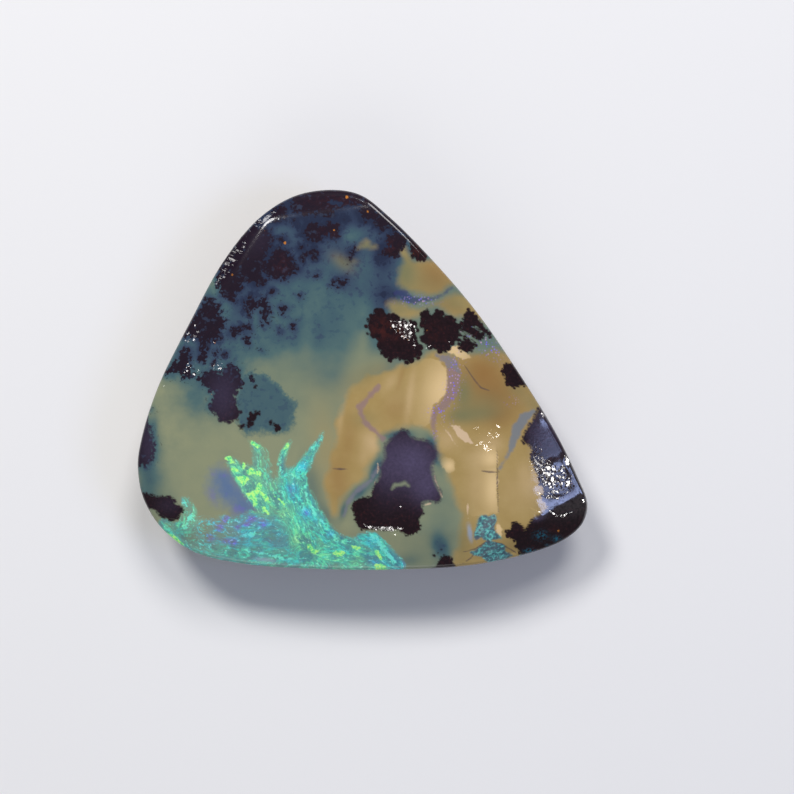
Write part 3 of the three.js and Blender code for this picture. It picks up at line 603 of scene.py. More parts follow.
# Fire: the play of colour along the lower left, in plumes and horns that lean together and run to the right.
PLUMES = [  # hue from violet 0 to yellow-green 1, brightness, then the line and half-widths
    (0.78, 0.95, [(-6.75, -3.85, -0.03), (-6.2, -4.5, 0.3), (-5.6, -5.1, 0.5), (-5.2, -5.8, 0.45),
        (-4.85, -6.4, 0.3)]),
    (0.66, 0.55, [(-5.4, -3.1, 0.0), (-5.0, -3.7, 0.28), (-4.9, -4.5, 0.4), (-4.6, -5.4, 0.5),
        (-4.2, -6.2, 0.5)]),
    (0.64, 1.0, [(-3.55, -3.05, -0.05), (-3.88, -3.6, 0.1), (-4.02, -4.2, 0.1), (-3.95, -4.9, 0.2)]),
    (0.6, 0.97, [(-3.95, -4.9, 0.2), (-3.7, -5.7, 0.4), (-3.3, -6.7, 0.4), (-2.9, -7.7, 0.4),
        (-2.4, -8.7, 0.5), (-1.9, -9.4, 0.5)]),
    (0.55, 1.0, [(-1.9, -2.6, -0.05), (-2.3, -3.3, 0.1), (-2.75, -4.05, 0.2)]),
    (0.57, 0.97, [(-2.75, -4.05, 0.2), (-3.2, -4.7, 0.35), (-3.1, -5.6, 0.42), (-2.7, -6.5, 0.45),
        (-2.1, -7.4, 0.45), (-1.4, -8.1, 0.4), (-0.6, -8.4, 0.45)]),
    (0.8, 0.95, [(-4.9, -5.5, 0.25), (-4.1, -6.1, 0.3), (-3.6, -6.9, 0.3), (-3.2, -7.8, 0.35),
        (-2.5, -8.5, 0.35), (-1.4, -8.9, 0.35), (-0.4, -9.1, 0.3)]),
    (0.6, 0.95, [(-3.0, -8.7, 0.5), (-1.2, -8.7, 0.6), (0.2, -9.0, 0.6), (1.1, -9.3, 0.4)]),
    (0.5, 1.0, [(-0.1, -7.85, 0.15), (0.5, -8.0, 0.35), (1.0, -8.6, 0.4), (1.7, -9.3, 0.35)]),
    (0.54, 0.85, [(-9.9, -7.3, 0.3), (-9.0, -8.0, 0.35), (-7.6, -8.6, 0.4), (-6.1, -8.9, 0.35),
        (-4.6, -8.8, 0.2), (-3.3, -8.9, 0.3)]),
    (0.57, 0.85, [(-8.9, -6.0, 0.1), (-8.6, -6.6, 0.3), (-8.75, -7.3, 0.4), (-9.6, -7.6, 0.25)]),
    (0.46, 0.5, [(-7.9, -7.3, 0.4), (-7.0, -7.5, 0.55), (-6.0, -7.6, 0.6), (-5.0, -7.4, 0.5),
        (-4.2, -7.6, 0.6)]),
]
FIRE_BODY = [
    (-4.3, -4.8), (-4.05, -4.5), (-3.5, -4.3), (-2.95, -4.4), (-2.8, -5.1), (-2.35, -5.9), (-1.85, -6.8),
    (-1.4, -7.35), (-1.0, -7.7), (-0.5, -7.8), (0.0, -7.55), (0.4, -7.55), (0.75, -7.8), (1.1, -8.2),
    (1.5, -8.6), (1.85, -9.0), (2.2, -9.8), (0.0, -10.2), (-3.0, -10.2), (-6.0, -9.9), (-8.8, -9.3),
    (-10.2, -8.2), (-10.3, -7.3), (-9.5, -7.15), (-8.95, -6.9), (-8.8, -6.4), (-9.1, -5.9), (-8.7, -5.9),
    (-8.3, -6.4), (-8.1, -6.9), (-7.5, -6.9), (-6.9, -6.7), (-6.3, -6.8), (-5.6, -6.5), (-5.2, -6.4),
    (-5.6, -5.8), (-5.95, -5.3), (-6.4, -4.8), (-6.75, -4.1), (-6.5, -3.85), (-6.0, -4.1), (-5.5, -4.2),
    (-5.5, -3.5), (-5.6, -3.05), (-5.15, -3.15), (-4.8, -3.8), (-4.65, -4.6),
]
FLAKES = [
    [(-6.82, -3.95), (-6.72, -3.82), (-6.55, -3.83), (-6.5, -3.98), (-6.33, -4.1), (-6.38, -4.2),
        (-6.55, -4.15), (-6.65, -4.02)],
    [(-6.5, -4.45), (-6.35, -4.38), (-6.2, -4.5), (-6.3, -4.6), (-6.45, -4.6)],
    [(-5.75, -4.6), (-5.45, -4.42), (-5.35, -4.55), (-5.1, -4.55), (-5.0, -4.65), (-5.15, -4.78),
        (-5.35, -4.7), (-5.7, -4.72)],
    [(-6.3, -4.88), (-6.0, -4.83), (-5.8, -4.78), (-5.65, -4.98), (-5.8, -5.1), (-5.9, -5.25),
        (-6.05, -5.12)],
    [(-5.3, -5.35), (-5.1, -5.15), (-4.98, -5.25), (-5.05, -5.5), (-4.95, -5.65), (-4.75, -5.8),
        (-4.65, -6.0), (-4.55, -6.15), (-4.85, -6.05), (-5.02, -5.75), (-5.2, -5.6)],
    [(-5.8, -5.7), (-5.55, -5.6), (-5.35, -5.5), (-5.2, -5.7), (-5.3, -5.8), (-5.2, -6.05), (-5.25, -6.3),
        (-5.35, -6.45), (-5.42, -6.1), (-5.5, -5.95)],
    [(-5.0, -6.3), (-4.85, -6.4), (-4.7, -6.55), (-4.6, -6.75), (-4.8, -6.65), (-4.92, -6.5)],
    [(-5.55, -3.1), (-5.4, -3.05), (-5.3, -3.2), (-5.1, -3.3), (-5.2, -3.4), (-5.4, -3.3)],
    [(-5.95, -4.15), (-5.87, -4.1), (-5.83, -4.35), (-5.9, -4.5), (-5.97, -4.35)],
    [(-3.95, -3.5), (-3.8, -3.25), (-3.6, -3.1), (-3.7, -3.4)], [(-4.35, -5.8), (-4.1, -5.95), (-3.8, -6.3)],
    [(-2.8, -8.2), (-2.6, -8.2), (-2.45, -8.45), (-2.2, -8.55), (-2.35, -8.7), (-2.6, -8.55)],
    [(-1.5, -8.65), (-1.2, -8.55), (-0.9, -8.6), (-1.1, -8.8)],
    [(-0.55, -8.3), (-0.1, -8.35), (-0.15, -8.45), (-0.45, -8.45)],
    [(0.6, -8.55), (0.75, -8.5), (0.95, -9.0)], [(0.6, -9.3), (0.95, -9.2), (1.2, -9.45), (0.7, -9.6)],
    [(-9.75, -7.65), (-9.3, -7.95), (-8.95, -8.3), (-9.4, -8.1)],
]
GLEAMS = [
    [(-4.02, -3.8, 0.02), (-4.1, -4.3, 0.05), (-3.95, -4.65, 0.03)],
    [(-2.0, -2.8, 0.04), (-2.45, -3.4, 0.06)], [(-3.7, -4.7, 0.04), (-3.2, -4.9, 0.07)],
    [(-2.85, -5.3, 0.03), (-2.7, -6.1, 0.06), (-2.3, -6.8, 0.04)],
    [(-2.1, -7.0, 0.02), (-1.6, -7.6, 0.05), (-1.25, -8.0, 0.05)], [(-3.1, -5.9, 0.02), (-2.9, -6.5, 0.05)],
    [(0.25, -7.6, 0.05), (0.75, -8.0, 0.12), (1.1, -8.5, 0.1), (1.6, -9.1, 0.08)],
    [(-6.1, -7.75, 0.05), (-5.5, -7.72, 0.12), (-5.1, -7.4, 0.04)], [(-8.85, -7.3, 0.12), (-8.6, -6.9, 0.12)],
    [(-5.9, -8.45, 0.03), (-5.65, -8.58, 0.06), (-5.0, -8.65, 0.02), (-4.3, -8.85, 0.06),
        (-3.5, -8.98, 0.03)],
    [(-3.4, -7.75, 0.03), (-3.1, -8.0, 0.06)], [(-4.3, -5.4, 0.03), (-3.9, -5.7, 0.05)],
    [(-1.0, -8.05, 0.05), (-0.6, -8.05, 0.03)], [(-6.7, -7.3, 0.05), (-6.5, -6.9, 0.04)],
    [(-9.0, -6.1, 0.06), (-8.75, -6.3, 0.05)], [(-8.4, -6.75, 0.08), (-8.3, -7.0, 0.05)],
]
VIOLET_HAZE = [
    (-7.4, -5.2), (-7.1, -4.6), (-6.6, -4.7), (-6.2, -5.1), (-5.8, -5.7), (-5.3, -6.3), (-5.4, -6.7),
    (-6.1, -6.6), (-6.5, -6.2), (-7.0, -5.9),
]
VIOLET = [
    (-5.75, -6.32, 0.3, 0.16, 1.0), (-5.5, -6.92, 0.22, 0.16, 1.0), (-5.75, -7.2, 0.2, 0.14, 1.0),
    (-7.12, -7.35, 0.15, 0.2, 0.9), (-6.8, -6.95, 0.12, 0.5, 0.8, -35), (-6.75, -8.05, 0.25, 0.15, 0.8),
    (-6.4, -8.15, 0.15, 0.15, 0.9), (-4.95, -7.2, 0.25, 0.25, 0.6), (-7.6, -7.9, 0.2, 0.2, 0.7),
    (-2.8, -6.65, 0.25, 0.25, 0.6), (-3.5, -5.5, 0.3, 0.35, 0.4), (-1.6, -7.65, 0.2, 0.2, 0.5),
    (-3.0, -4.35, 0.3, 0.25, 0.35), (-6.2, -7.35, 0.12, 0.12, 0.8), (2.3, -9.15, 0.5, 0.25, 0.4),
    (0.5, -9.1, 0.3, 0.15, 0.5),
]
MILK = [(-4.9, -9.0, 0.7, 0.14, 0.8, -6), (5.33, -7.65, 0.14, 0.5, 0.95, 8)]
SPARSE = [
    (-8.7, -6.7, 0.5, 0.9, 0.8, 10), (-7.9, -7.4, 0.5, 0.9, 0.95), (-8.0, -6.6, 0.4, 0.5, 0.9),
    (-7.2, -7.0, 0.6, 0.3, 0.7), (-6.9, -7.7, 0.8, 0.6, 0.75), (-9.65, -7.35, 0.35, 0.2, 0.8, -40),
    (-4.3, -4.6, 0.25, 0.5, 0.8), (-5.0, -4.0, 0.4, 0.7, 0.4), (-3.7, -4.0, 0.15, 0.3, 0.7),
    (-5.9, -6.9, 0.5, 0.3, 0.5), (-8.0, -8.5, 0.7, 0.3, 0.6, -20), (0.1, -9.3, 0.5, 0.2, 0.4),
    (-1.5, -9.3, 0.7, 0.15, 0.4), (-8.6, -7.9, 0.4, 0.3, 0.6), (-5.0, -6.8, 0.4, 0.3, 0.4),
]
DIM = [
    (-4.6, -7.95, 0.9, 0.45, 0.85, -10), (-4.5, -6.8, 0.4, 0.45, 0.7), (-5.5, -4.9, 0.5, 0.12, 0.9, -30),
    (-5.5, -5.3, 0.2, 0.15, 0.9), (-4.95, -6.15, 0.15, 0.3, 0.8, -20), (0.15, -8.8, 0.35, 0.3, 0.6),
    (-6.0, -4.72, 0.25, 0.08, 0.8), (-6.0, -9.1, 1.0, 0.2, 0.5, -6), (-7.6, -7.9, 0.8, 0.4, 0.5),
]
BODY_FIRE, BODY_HUE = 0.8, 0.55  # how bright the fire is between the plumes, and its hue
PLUME_APART = 20  # each plume's streaks start this much further along, so that no two are alike

fire = BODY_FIRE * smoothstep(inside(FIRE_BODY), -0.2, 0.25)
hue_sum = np.full(len(plan), 1e-6)
hue = BODY_HUE * hue_sum
along, beside = np.zeros((2, len(plan)))
deepest = np.full(len(plan), -np.inf)
for number, (tint, brightness, points) in enumerate(PLUMES):
    depth, run, side = stroke(points)
    fire = np.maximum(fire, brightness * smoothstep(depth, -0.24, 0.1))
    weight = smoothstep(depth, -0.35, 0.4)
    hue += weight * tint
    hue_sum += weight
    along = np.where(depth > deepest, run + PLUME_APART * number, along)
    beside = np.where(depth > deepest, side, beside)
    deepest = np.maximum(deepest, depth)
mark("fire", fire)
mark("hue", hue / hue_sum)
mark("along", along)
mark("beside", beside)
mark("flake", areas(FLAKES))
mark("gleam", bands(GLEAMS))
mark("violet_haze", inside(VIOLET_HAZE))
mark("violet", clouds(VIOLET))
mark("milk", clouds(MILK))
mark("sparse", clouds(SPARSE))
mark("dim", clouds(DIM))

# The polish: where the lap left scratches, where small breaks in the surface throw the light back, where the
# ironstone has crazed, and where it lies bare at the surface, so that it shines more than the opal does.
SCRATCHES = [
    (-6.5, 6.0, 0.3, 1.2, 1.0, -33), (-5.25, 7.75, 0.25, 0.5, 0.5, -45), (-4.5, 8.3, 0.7, 0.35, 0.42, 35),
]
PITS = [
    (1.9, 2.65, 0.55, 0.28, 1.0, -15), (2.2, 2.3, 0.45, 0.4, 0.9, -40), (2.6, 1.6, 0.15, 0.2, 0.5),
    (-8.5, 0.5, 0.5, 0.4, 0.5), (-7.25, 0.65, 0.4, 0.2, 0.6), (-8.5, 2.2, 0.4, 0.9, 0.4, -30),
    (6.4, -2.65, 0.4, 0.35, 0.5), (9.1, -4.7, 0.5, 0.9, 0.45, 25), (4.3, 1.9, 0.2, 0.2, 0.4),
    (3.3, 1.6, 0.3, 0.12, 0.6), (9.9, -5.0, 0.8, 0.9, 0.45), (10.2, -4.15, 0.12, 0.3, 0.9, -20),
]
PIT_LINES = [  # lines of breaks with their half-widths
    [(0.0, -7.2, 0.03), (0.4, -7.35, 0.07), (0.9, -7.42, 0.1), (1.5, -7.42, 0.12), (1.95, -7.4, 0.05)],
    [(1.4, -7.66, 0.02), (1.7, -7.72, 0.04)], [(5.53, -2.46, 0.04), (5.75, -2.42, 0.06)],
    [(5.62, -3.28, 0.04), (5.95, -3.15, 0.06)],
    [(5.95, -3.28, 0.05), (6.08, -3.36, 0.13), (6.2, -3.58, 0.06)],
    [(6.05, -2.4, 0.01), (6.2, -2.6, 0.015), (6.45, -2.92, 0.03)], [(6.5, -2.7, 0.015), (6.62, -2.95, 0.02)],
    [(6.62, -2.68, 0.02), (6.8, -2.8, 0.03), (6.62, -2.9, 0.02)], [(6.65, -2.28, 0.03), (6.78, -2.4, 0.05)],
    [(5.65, -3.0, 0.01), (5.9, -3.1, 0.02), (6.2, -3.12, 0.02), (6.34, -2.95, 0.02)],
    [(6.3, -3.1, 0.015), (6.42, -3.3, 0.015)], [(5.5, -2.9, 0.01), (5.8, -2.68, 0.015), (6.1, -2.6, 0.01)],
    [(6.25, -3.45, 0.02), (6.45, -3.55, 0.03)],
    [(10.1, -3.85, 0.05), (10.22, -4.15, 0.09), (10.3, -4.4, 0.03)], [(8.9, -1.65, 0.03), (9.0, -1.85, 0.05)],
    [(11.02, -5.9, 0.03), (11.05, -6.15, 0.06)],
    [(10.32, -5.0, 0.02), (10.4, -5.35, 0.03), (10.15, -5.75, 0.02)], [(9.6, -5.6, 0.02), (9.8, -5.55, 0.03)],
    [(8.45, -3.95, 0.015), (8.6, -4.3, 0.03), (8.8, -4.6, 0.02)], [(8.5, -3.7, 0.015), (8.9, -3.72, 0.03)],
    [(8.65, -5.62, 0.02), (9.0, -5.78, 0.025)],
    [(9.12, -5.87, 0.03), (9.45, -5.85, 0.05), (9.78, -5.97, 0.03)],
    [(8.35, -6.4, 0.015), (8.7, -6.58, 0.03), (9.0, -6.7, 0.015)], [(8.6, -6.1, 0.01), (9.0, -6.3, 0.015)],
    [(9.3, -6.55, 0.02), (9.6, -6.78, 0.05), (10.0, -6.85, 0.06), (10.5, -6.62, 0.02)],
    [(1.8, -6.28, 0.03), (1.9, -6.32, 0.02)], [(2.62, -4.2, 0.02), (2.7, -4.23, 0.01)],
    [(-6.9, -0.85, 0.02), (-6.88, -0.9, 0.02)], [(-7.35, 1.85, 0.02), (-7.4, 1.8, 0.02)],
    [(-9.95, -0.2, 0.03), (-9.9, -0.5, 0.02)], [(-8.7, 0.65, 0.03), (-8.55, 0.55, 0.02)],
]
CRAZING = [(8.85, -4.4, 0.45, 1.0, 1.0, 20), (9.8, -4.8, 0.7, 0.7, 0.6, 20), (9.5, -5.7, 0.7, 0.25, 0.55)]
SHINE = [
    (8.95, -1.85, 0.35, 0.45, 0.8, 30), (9.3, -2.6, 0.4, 0.6, 0.1, 30), (9.6, -4.3, 0.45, 0.4, 0.6),
    (10.25, -4.2, 0.22, 0.5, 0.9, 25), (10.6, -5.0, 0.3, 0.8, 0.4, 20), (9.8, -5.2, 0.7, 0.35, 0.35, 20),
    (11.0, -6.0, 0.4, 0.6, 1.0), (10.1, -6.3, 1.3, 0.6, 0.85), (9.0, -6.7, 0.25, 0.2, 0.6),
    (8.5, -5.4, 0.45, 0.3, 0.4), (8.8, -6.1, 0.4, 0.3, 0.45, -30),
]
mark("scratches", clouds(SCRATCHES))
mark("pits", clouds(PITS))
mark("pit_lines", bands(PIT_LINES))
mark("crazing", clouds(CRAZING))
mark("shine", clouds(SHINE))

# The stone's material: clear hard polish over the colours above. The nodes read the markings, roughen their
# edges with noise in the stone's own millimetres, and lay one colour over another from the potch up.
polished = bpy.data.materials.new("polished_opal")
polished.use_nodes = True
tree = polished.node_tree
tree.nodes.clear()


def put(kind, inputs, **settings):
    """Adds a shader node with these settings, and gives each input a number, a colour or another's output."""
    made = tree.nodes.new(kind)
    for name, value in settings.items():
        setattr(made, name, value)
    for key, value in inputs.items():
        if isinstance(value, bpy.types.NodeSocket):
            tree.links.new(value, made.inputs[key])
        else:
            made.inputs[key].default_value = value
    return made


def colour(code):
    """The linear red, green, blue and alpha of a #rrggbb code."""
    parts = np.array([int(code[at:at + 2], 16) / 255 for at in (1, 3, 5)])
    return (*np.where(parts <= 0.04045, parts / 12.92, ((parts + 0.055) / 1.055) ** 2.4), 1.0)


def field(name):
    """One of the markings stored on the mesh."""
    return put("ShaderNodeAttribute", {}, attribute_name=name).outputs["Fac"]


def calc(operation, a, b=0.0, c=0.0):
    """A sum, product or other calculation with numbers or outputs."""
    return put("ShaderNodeMath", {0: a, 1: b, 2: c}, operation=operation).outputs[0]


def times(first, *others):
    """The product of numbers or outputs."""
    for part in others:
        first = calc("MULTIPLY", first, part)
    return first


def total(first, *others):
    """The sum of numbers or outputs."""
    for part in others:
        first = calc("ADD", first, part)
    return first


def most(first, *others):
    """The greatest of numbers or outputs."""
    for part in others:
        first = calc("MAXIMUM", first, part)
    return first


def line(value, slope, base):
    """A straight line: a value times its slope, plus its base."""
    return calc("MULTIPLY_ADD", value, slope, base)


def sway(value, noise, amount):
    """A value plus a noise about 0, which goes up and down by about this much."""
    return calc("ADD", value, times(line(noise, 4.0, -2.0), amount))


def rise(value, low, high):
    """0 below low and 1 above high, with a smooth slope between."""
    inputs = {"Value": value, "From Min": low, "From Max": high}
    return put("ShaderNodeMapRange", inputs, interpolation_type="SMOOTHSTEP").outputs["Result"]


def over(under, top, share):
    """One colour laid over another by a share."""
    top = colour(top) if isinstance(top, str) else top
    return put("ShaderNodeMix", {0: share, 6: under, 7: top}, data_type="RGBA").outputs[2]


def ramp(value, *stops):
    """A run of colours along a value, from (place, colour code) stops."""
    made = put("ShaderNodeValToRGB", {"Fac": value})
    elements = made.color_ramp.elements
    while len(elements) < len(stops):
        elements.new(0.5)
    for element, (place, code) in zip(elements, stops):
        element.position = place
        element.color = colour(code)
    return made.outputs["Color"]


object_place = put("ShaderNodeTexCoord", {}).outputs["Object"]
place = put("ShaderNodeMapping", {"Vector": object_place, "Scale": (1 / MM,) * 3}).outputs["Vector"]


def noise(scale, detail=3.0, rough=0.55, at=place):
    """Cloudy noise about 0.5, with this many clouds to the millimetre."""
    inputs = {"Vector": at, "Scale": scale, "Detail": detail, "Roughness": rough}
    return put("ShaderNodeTexNoise", inputs).outputs["Fac"]


def cells(scale, at=place):
    """Cells, this many to the millimetre: the distance from each one's middle, and three random numbers for
    each, apart and together."""
    made = put("ShaderNodeTexVoronoi", {"Vector": at, "Scale": scale})
    parts = put("ShaderNodeSeparateColor", {"Color": made.outputs["Color"]})
    return made.outputs["Distance"], parts.outputs, made.outputs["Color"]


wide_clouds = noise(0.5, 2.0)
mottle = noise(1.3, 4.0)
clots = noise(3.2)
specks = noise(7.0)
dust = noise(16.0, 2.0)

# Potch, from olive through grey-green and teal to ink blue, with a powder of fine iron in the blue.
inky = sway(field("haze"), wide_clouds, 0.05)
inky = sway(inky, mottle, line(field("upper_left"), 0.06, 0.03))
lobe = sway(sway(field("haze_lobe"), mottle, 0.22), specks, 0.1)
inky = most(inky, sway(times(rise(lobe, -0.25, 0.3), 0.52), mottle, 0.04))
powder = times(rise(clots, 0.52, 0.66), rise(inky, 0.35, 0.6), 0.14)
body = ramp(total(inky, powder), (0.0, "#888d70"), (0.2, "#717d6a"), (0.4, "#4e6868"), (0.55, "#405a63"),
            (0.7, "#394b5d"), (0.85, "#2e3a51"), (1.0, "#232b41"))

# Amber over potch, with cream slabs in it.
amber_depth = sway(sway(field("amber"), mottle, 0.14), wide_clouds, 0.1)
honey = ramp(sway(0.5, mottle, 0.12), (0.25, "#98804c"), (0.5, "#a38b57"), (0.75, "#ac9563"))
# The pale tone is paler amber in places, and a painted sheen near the glints and on the right shoulder.
for tone, code in (("deep", "#8c673a"), ("pale_and_sheen", "#c6ab80"), ("green", "#767553")):
    honey = over(honey, code, field(tone))
body = over(body, honey, most(rise(amber_depth, -0.2, 0.3), field("amber_wash")))
cream_depth = sway(sway(field("cream"), clots, 0.09), specks, 0.04)
body = over(body, "#d9bd8b", times(rise(cream_depth, -0.05, 0.06), field("cream_full"), 0.95))

# Veins, cracks and whitish chips.
seam = sway(sway(field("vein"), clots, 0.07), mottle, 0.06)
lilac = over(body, ramp(field("vein_blue"), (0.1, "#8e7173"), (0.7, "#687888"), (1.0, "#333963")), 0.85)
body = over(body, lilac, times(rise(seam, -0.11, 0.08), 0.88))
dot_distance, dot_tone, _ = cells(8.0)
dots = times(rise(dot_distance, 0.48, 0.2), rise(dot_tone["Green"], 0.15, 0.4), field("glitter"))
body = over(body, ramp(dot_tone["Red"], (0.3, "#7d6ae6"), (0.6, "#a68fd0"), (0.9, "#c9a3c8")), dots)
open_crack = sway(field("crack"), clots, 0.012)
body = over(body, "#4c4046", times(rise(open_crack, -0.04, 0.02), 0.75))
whitish = sway(sway(field("white"), clots, 0.05), specks, 0.03)
body = over(body, "#d8bd9f", times(rise(whitish, -0.03, 0.05), 0.75))

# Fire: a teal glow, with dashes of light over it that follow the plumes, and broad bright flakes and gleams.
haze_depth = sway(sway(field("violet_haze"), mottle, 0.22), clots, 0.08)
haze_colour = over(colour("#566f96"), "#6265ac", rise(mottle, 0.5, 0.7))
body = over(body, haze_colour, times(rise(haze_depth, -0.7, 0.5), 0.9))

FLOW_SQUEEZE = 2.6  # the dashes are this much finer across a plume than along it
FLOW_WARP = 0.7  # how far they are bent out of its line
warp = put("ShaderNodeTexNoise", {"Vector": place, "Scale": 2.5, "Detail": 3.0}).outputs["Color"]
flow = put("ShaderNodeCombineXYZ", {"X": field("along"), "Y": times(field("beside"), FLOW_SQUEEZE)})
flow = put("ShaderNodeVectorMath", {0: warp, 1: (FLOW_WARP,) * 3, 2: flow.outputs["Vector"]},
           operation="MULTIPLY_ADD").outputs["Vector"]
streaks, dashes, sparks = noise(1.8, 3.0, 0.6, flow), noise(4.0, 3.0, 0.65, flow), noise(8.0, 2.0, 0.6)
_, chip_tone, _ = cells(3.0, flow)
fire_hue = sway(field("hue"), noise(0.9), 0.1)
fire_hue = total(fire_hue, line(chip_tone["Red"], 0.16, -0.08), times(field("violet"), -0.6))
ember = ramp(fire_hue, (0.0, "#6a6cc0"), (0.2, "#5a84b6"), (0.4, "#4ea5b4"), (0.55, "#50aaa4"),
             (0.7, "#5eb49c"), (0.9, "#74bc94"))
flame = ramp(fire_hue, (0.0, "#8079fa"), (0.2, "#62a0ec"), (0.38, "#4ed8e0"), (0.55, "#58e8ca"),
             (0.7, "#72f0b0"), (0.9, "#a8fc9c"))
fire_share = sway(sway(field("fire"), clots, 0.24), dashes, 0.3)
fire_share = times(rise(fire_share, 0.05, 0.75), field("fire"))
dense = line(field("sparse"), -0.85, 1.0)
bright = line(field("dim"), -0.75, 1.0)
lull = rise(noise(1.1, 3.0, 0.6), 0.5, 0.62)
ember = over(ember, "#4a7488", times(most(lull, field("dim")), 0.5))
body = over(body, ember, times(fire_share, dense, line(streaks, 0.5, 0.7)))
light = total(times(streaks, 0.5), times(dashes, 0.5), times(lull, -0.04), times(field("sparse"), -0.05))
flame_share = times(fire_share, rise(light, 0.44, 0.6), bright, line(field("sparse"), -0.4, 1.0))
body = over(body, flame, times(flame_share, 0.85))
fleck = times(rise(chip_tone["Green"], 0.55, 0.65), rise(sparks, 0.47, 0.55), rise(dashes, 0.42, 0.55),
              field("sparse"), fire_share)
body = over(body, flame, times(fleck, 0.9))
spark = times(rise(dashes, 0.56, 0.66), rise(sparks, 0.48, 0.6), bright, fire_share)
body = over(body, over(flame, "#dcfff0", 0.45), times(spark, 0.9))
shade = times(rise(sparks, 0.48, 0.38), rise(dashes, 0.52, 0.42), fire_share, dense)
body = over(body, "#3f6f84", times(shade, 0.5))
gleam_depth = sway(sway(field("gleam"), clots, 0.1), sparks, 0.08)
body = over(body, over(flame, "#b0ffe8", 0.25), times(rise(gleam_depth, -0.04, 0.06), 0.85))
flake_depth = sway(sway(field("flake"), clots, 0.05), specks, 0.05)
flake_colour = ramp(sparks, (0.36, "#5cd48c"), (0.47, "#90f692"), (0.6, "#c0fe88"))
body = over(body, flake_colour, times(rise(flake_depth, -0.04, 0.02), 0.95))
patch_depth = sway(field("patches"), clots, 0.07)
patch_colour = ramp(total(times(noise(4.0, 3.0, 0.6), 0.6), times(sparks, 0.4)), (0.38, "#2f5266"),
                    (0.48, "#3c6a7a"), (0.57, "#4ea0a2"), (0.66, "#70ccc4"))
patch_colour = over(patch_colour, "#6f6c78", times(rise(mottle, 0.5, 0.62), 0.35))
body = over(body, patch_colour, times(rise(patch_depth, -0.04, 0.06), 0.85))
body = over(body, "#93a1b3", times(rise(sway(field("milk"), clots, 0.15), 0.1, 0.9), 0.8))

# Ironstone, with a crisp lobed edge, frayed in the upper left, and a milky veil where it lies deeper, the
# veil's blue-violet also a painted bluish sheen.
iron_depth = sway(field("ironstone"), specks, line(field("upper_left"), 0.07, 0.03))
iron_depth = sway(iron_depth, clots, times(field("upper_left"), 0.14))
iron_depth = sway(iron_depth, dust, 0.012)
near_iron = rise(field("ironstone"), -0.45, -0.05)
motes = times(rise(specks, 0.6, 0.66), near_iron, field("upper_left"))
edge_blur = line(field("veil_and_sheen"), 0.14, 0.04)
iron_edge = rise(iron_depth, calc("SUBTRACT", 0.02, edge_blur), total(edge_blur, 0.02))
iron = ramp(sway(0.5, specks, 0.25), (0.25, "#150a0e"), (0.55, "#1e1016"), (0.85, "#3a1a1a"))
iron = over(iron, "#201826", times(field("upper_left"), 0.7))
iron = over(iron, "#2f3b50", times(field("upper_left"), rise(clots, 0.56, 0.68), 0.65))
iron = over(iron, "#52211a", times(field("rust"), rise(clots, 0.4, 0.6), 0.55))
# The veil's blue-violet over the iron: milky opal above it, and a painted bluish sheen of light.
iron = over(iron, "#524a66", times(field("veil_and_sheen"), line(specks, 0.6, 0.55)))
body = over(body, iron, most(iron_edge, times(motes, 0.7)))
body = over(body, "#1d6a80", times(field("teal_in_iron"), rise(sparks, 0.4, 0.6), 0.8))
# Gold grains, some of them painted golden glints among the shining breaks.
body = over(body, "#b8742f", rise(sway(field("grains_and_glints"), dust, 0.02), -0.005, 0.045))

# The natural wall and back: brown ironstone under the opal, paler where it is ochre.
rock_share = rise(sway(field("below_rim"), mottle, 0.35), 0.45, 0.8)
rock_tone = sway(sway(noise(2.2, 6.0, 0.7), noise(0.35), 0.22), dust, 0.1)
rock = ramp(rock_tone, (0.25, "#241814"), (0.42, "#463024"), (0.55, "#69452b"), (0.7, "#93683c"),
            (0.85, "#b08f5f"))
body = over(body, rock, rock_share)

# The surface: a fine unevenness under the polish, the rock's grain, and small breaks. Each break is a flat
# bit of a cell that faces its own way, near the one in which it throws the key light straight up.
BREAKS_FACE = (-0.207, 0.359, 1.0)
MOST_TURNED, STEADIER = 0.3, 0.24  # how far a break may turn from it, and how much less in a line of breaks
SCORE_BEARING, SCORE_SIZE = -0.35, (0.55, 0.075, 1.0)  # the scratches' direction, and their length and width

_, break_tone, turn_way = cells(11.0)
lined = times(rise(sway(field("pit_lines"), specks, 0.03), -0.025, 0.005), rise(dust, 0.43, 0.52))
steady = most(field("scratches"), times(lined, 0.45), times(field("crazing"), 0.65))
turn_way = put("ShaderNodeVectorMath", {0: turn_way, 1: (-0.5, -0.5, -0.5)}).outputs["Vector"]
spread = line(steady, -STEADIER, MOST_TURNED)
break_way = put("ShaderNodeVectorMath", {0: turn_way, 1: spread, 2: BREAKS_FACE}, operation="MULTIPLY_ADD")
broken_face = put("ShaderNodeVectorTransform", {"Vector": break_way.outputs["Vector"]}, vector_type="NORMAL",
                  convert_from="OBJECT", convert_to="WORLD").outputs["Vector"]

chosen = total(sway(field("pits"), specks, 0.1), line(break_tone["Blue"], 0.7, -0.7))
pitted = times(rise(chosen, 0.15, 0.25), rise(field("pits"), 0.05, 0.25))
warped = put("ShaderNodeVectorMath", {0: place, 1: times(clots, 0.6)}).outputs["Vector"]
net = put("ShaderNodeTexVoronoi", {"Vector": warped, "Scale": 5.5}, feature="DISTANCE_TO_EDGE")
net = times(rise(net.outputs["Distance"], 0.11, 0.05), rise(sway(field("crazing"), specks, 0.6), 0.5, 0.65),
            rise(field("crazing"), 0.05, 0.3))
score_place = {"Vector": place, "Rotation": (0, 0, SCORE_BEARING), "Scale": SCORE_SIZE}
score_place = put("ShaderNodeMapping", score_place, vector_type="TEXTURE").outputs["Vector"]
scored = times(rise(noise(1.0, 2.0, 0.5, score_place), 0.53, 0.58),
               rise(sway(field("scratches"), clots, 0.3), 0.28, 0.45))

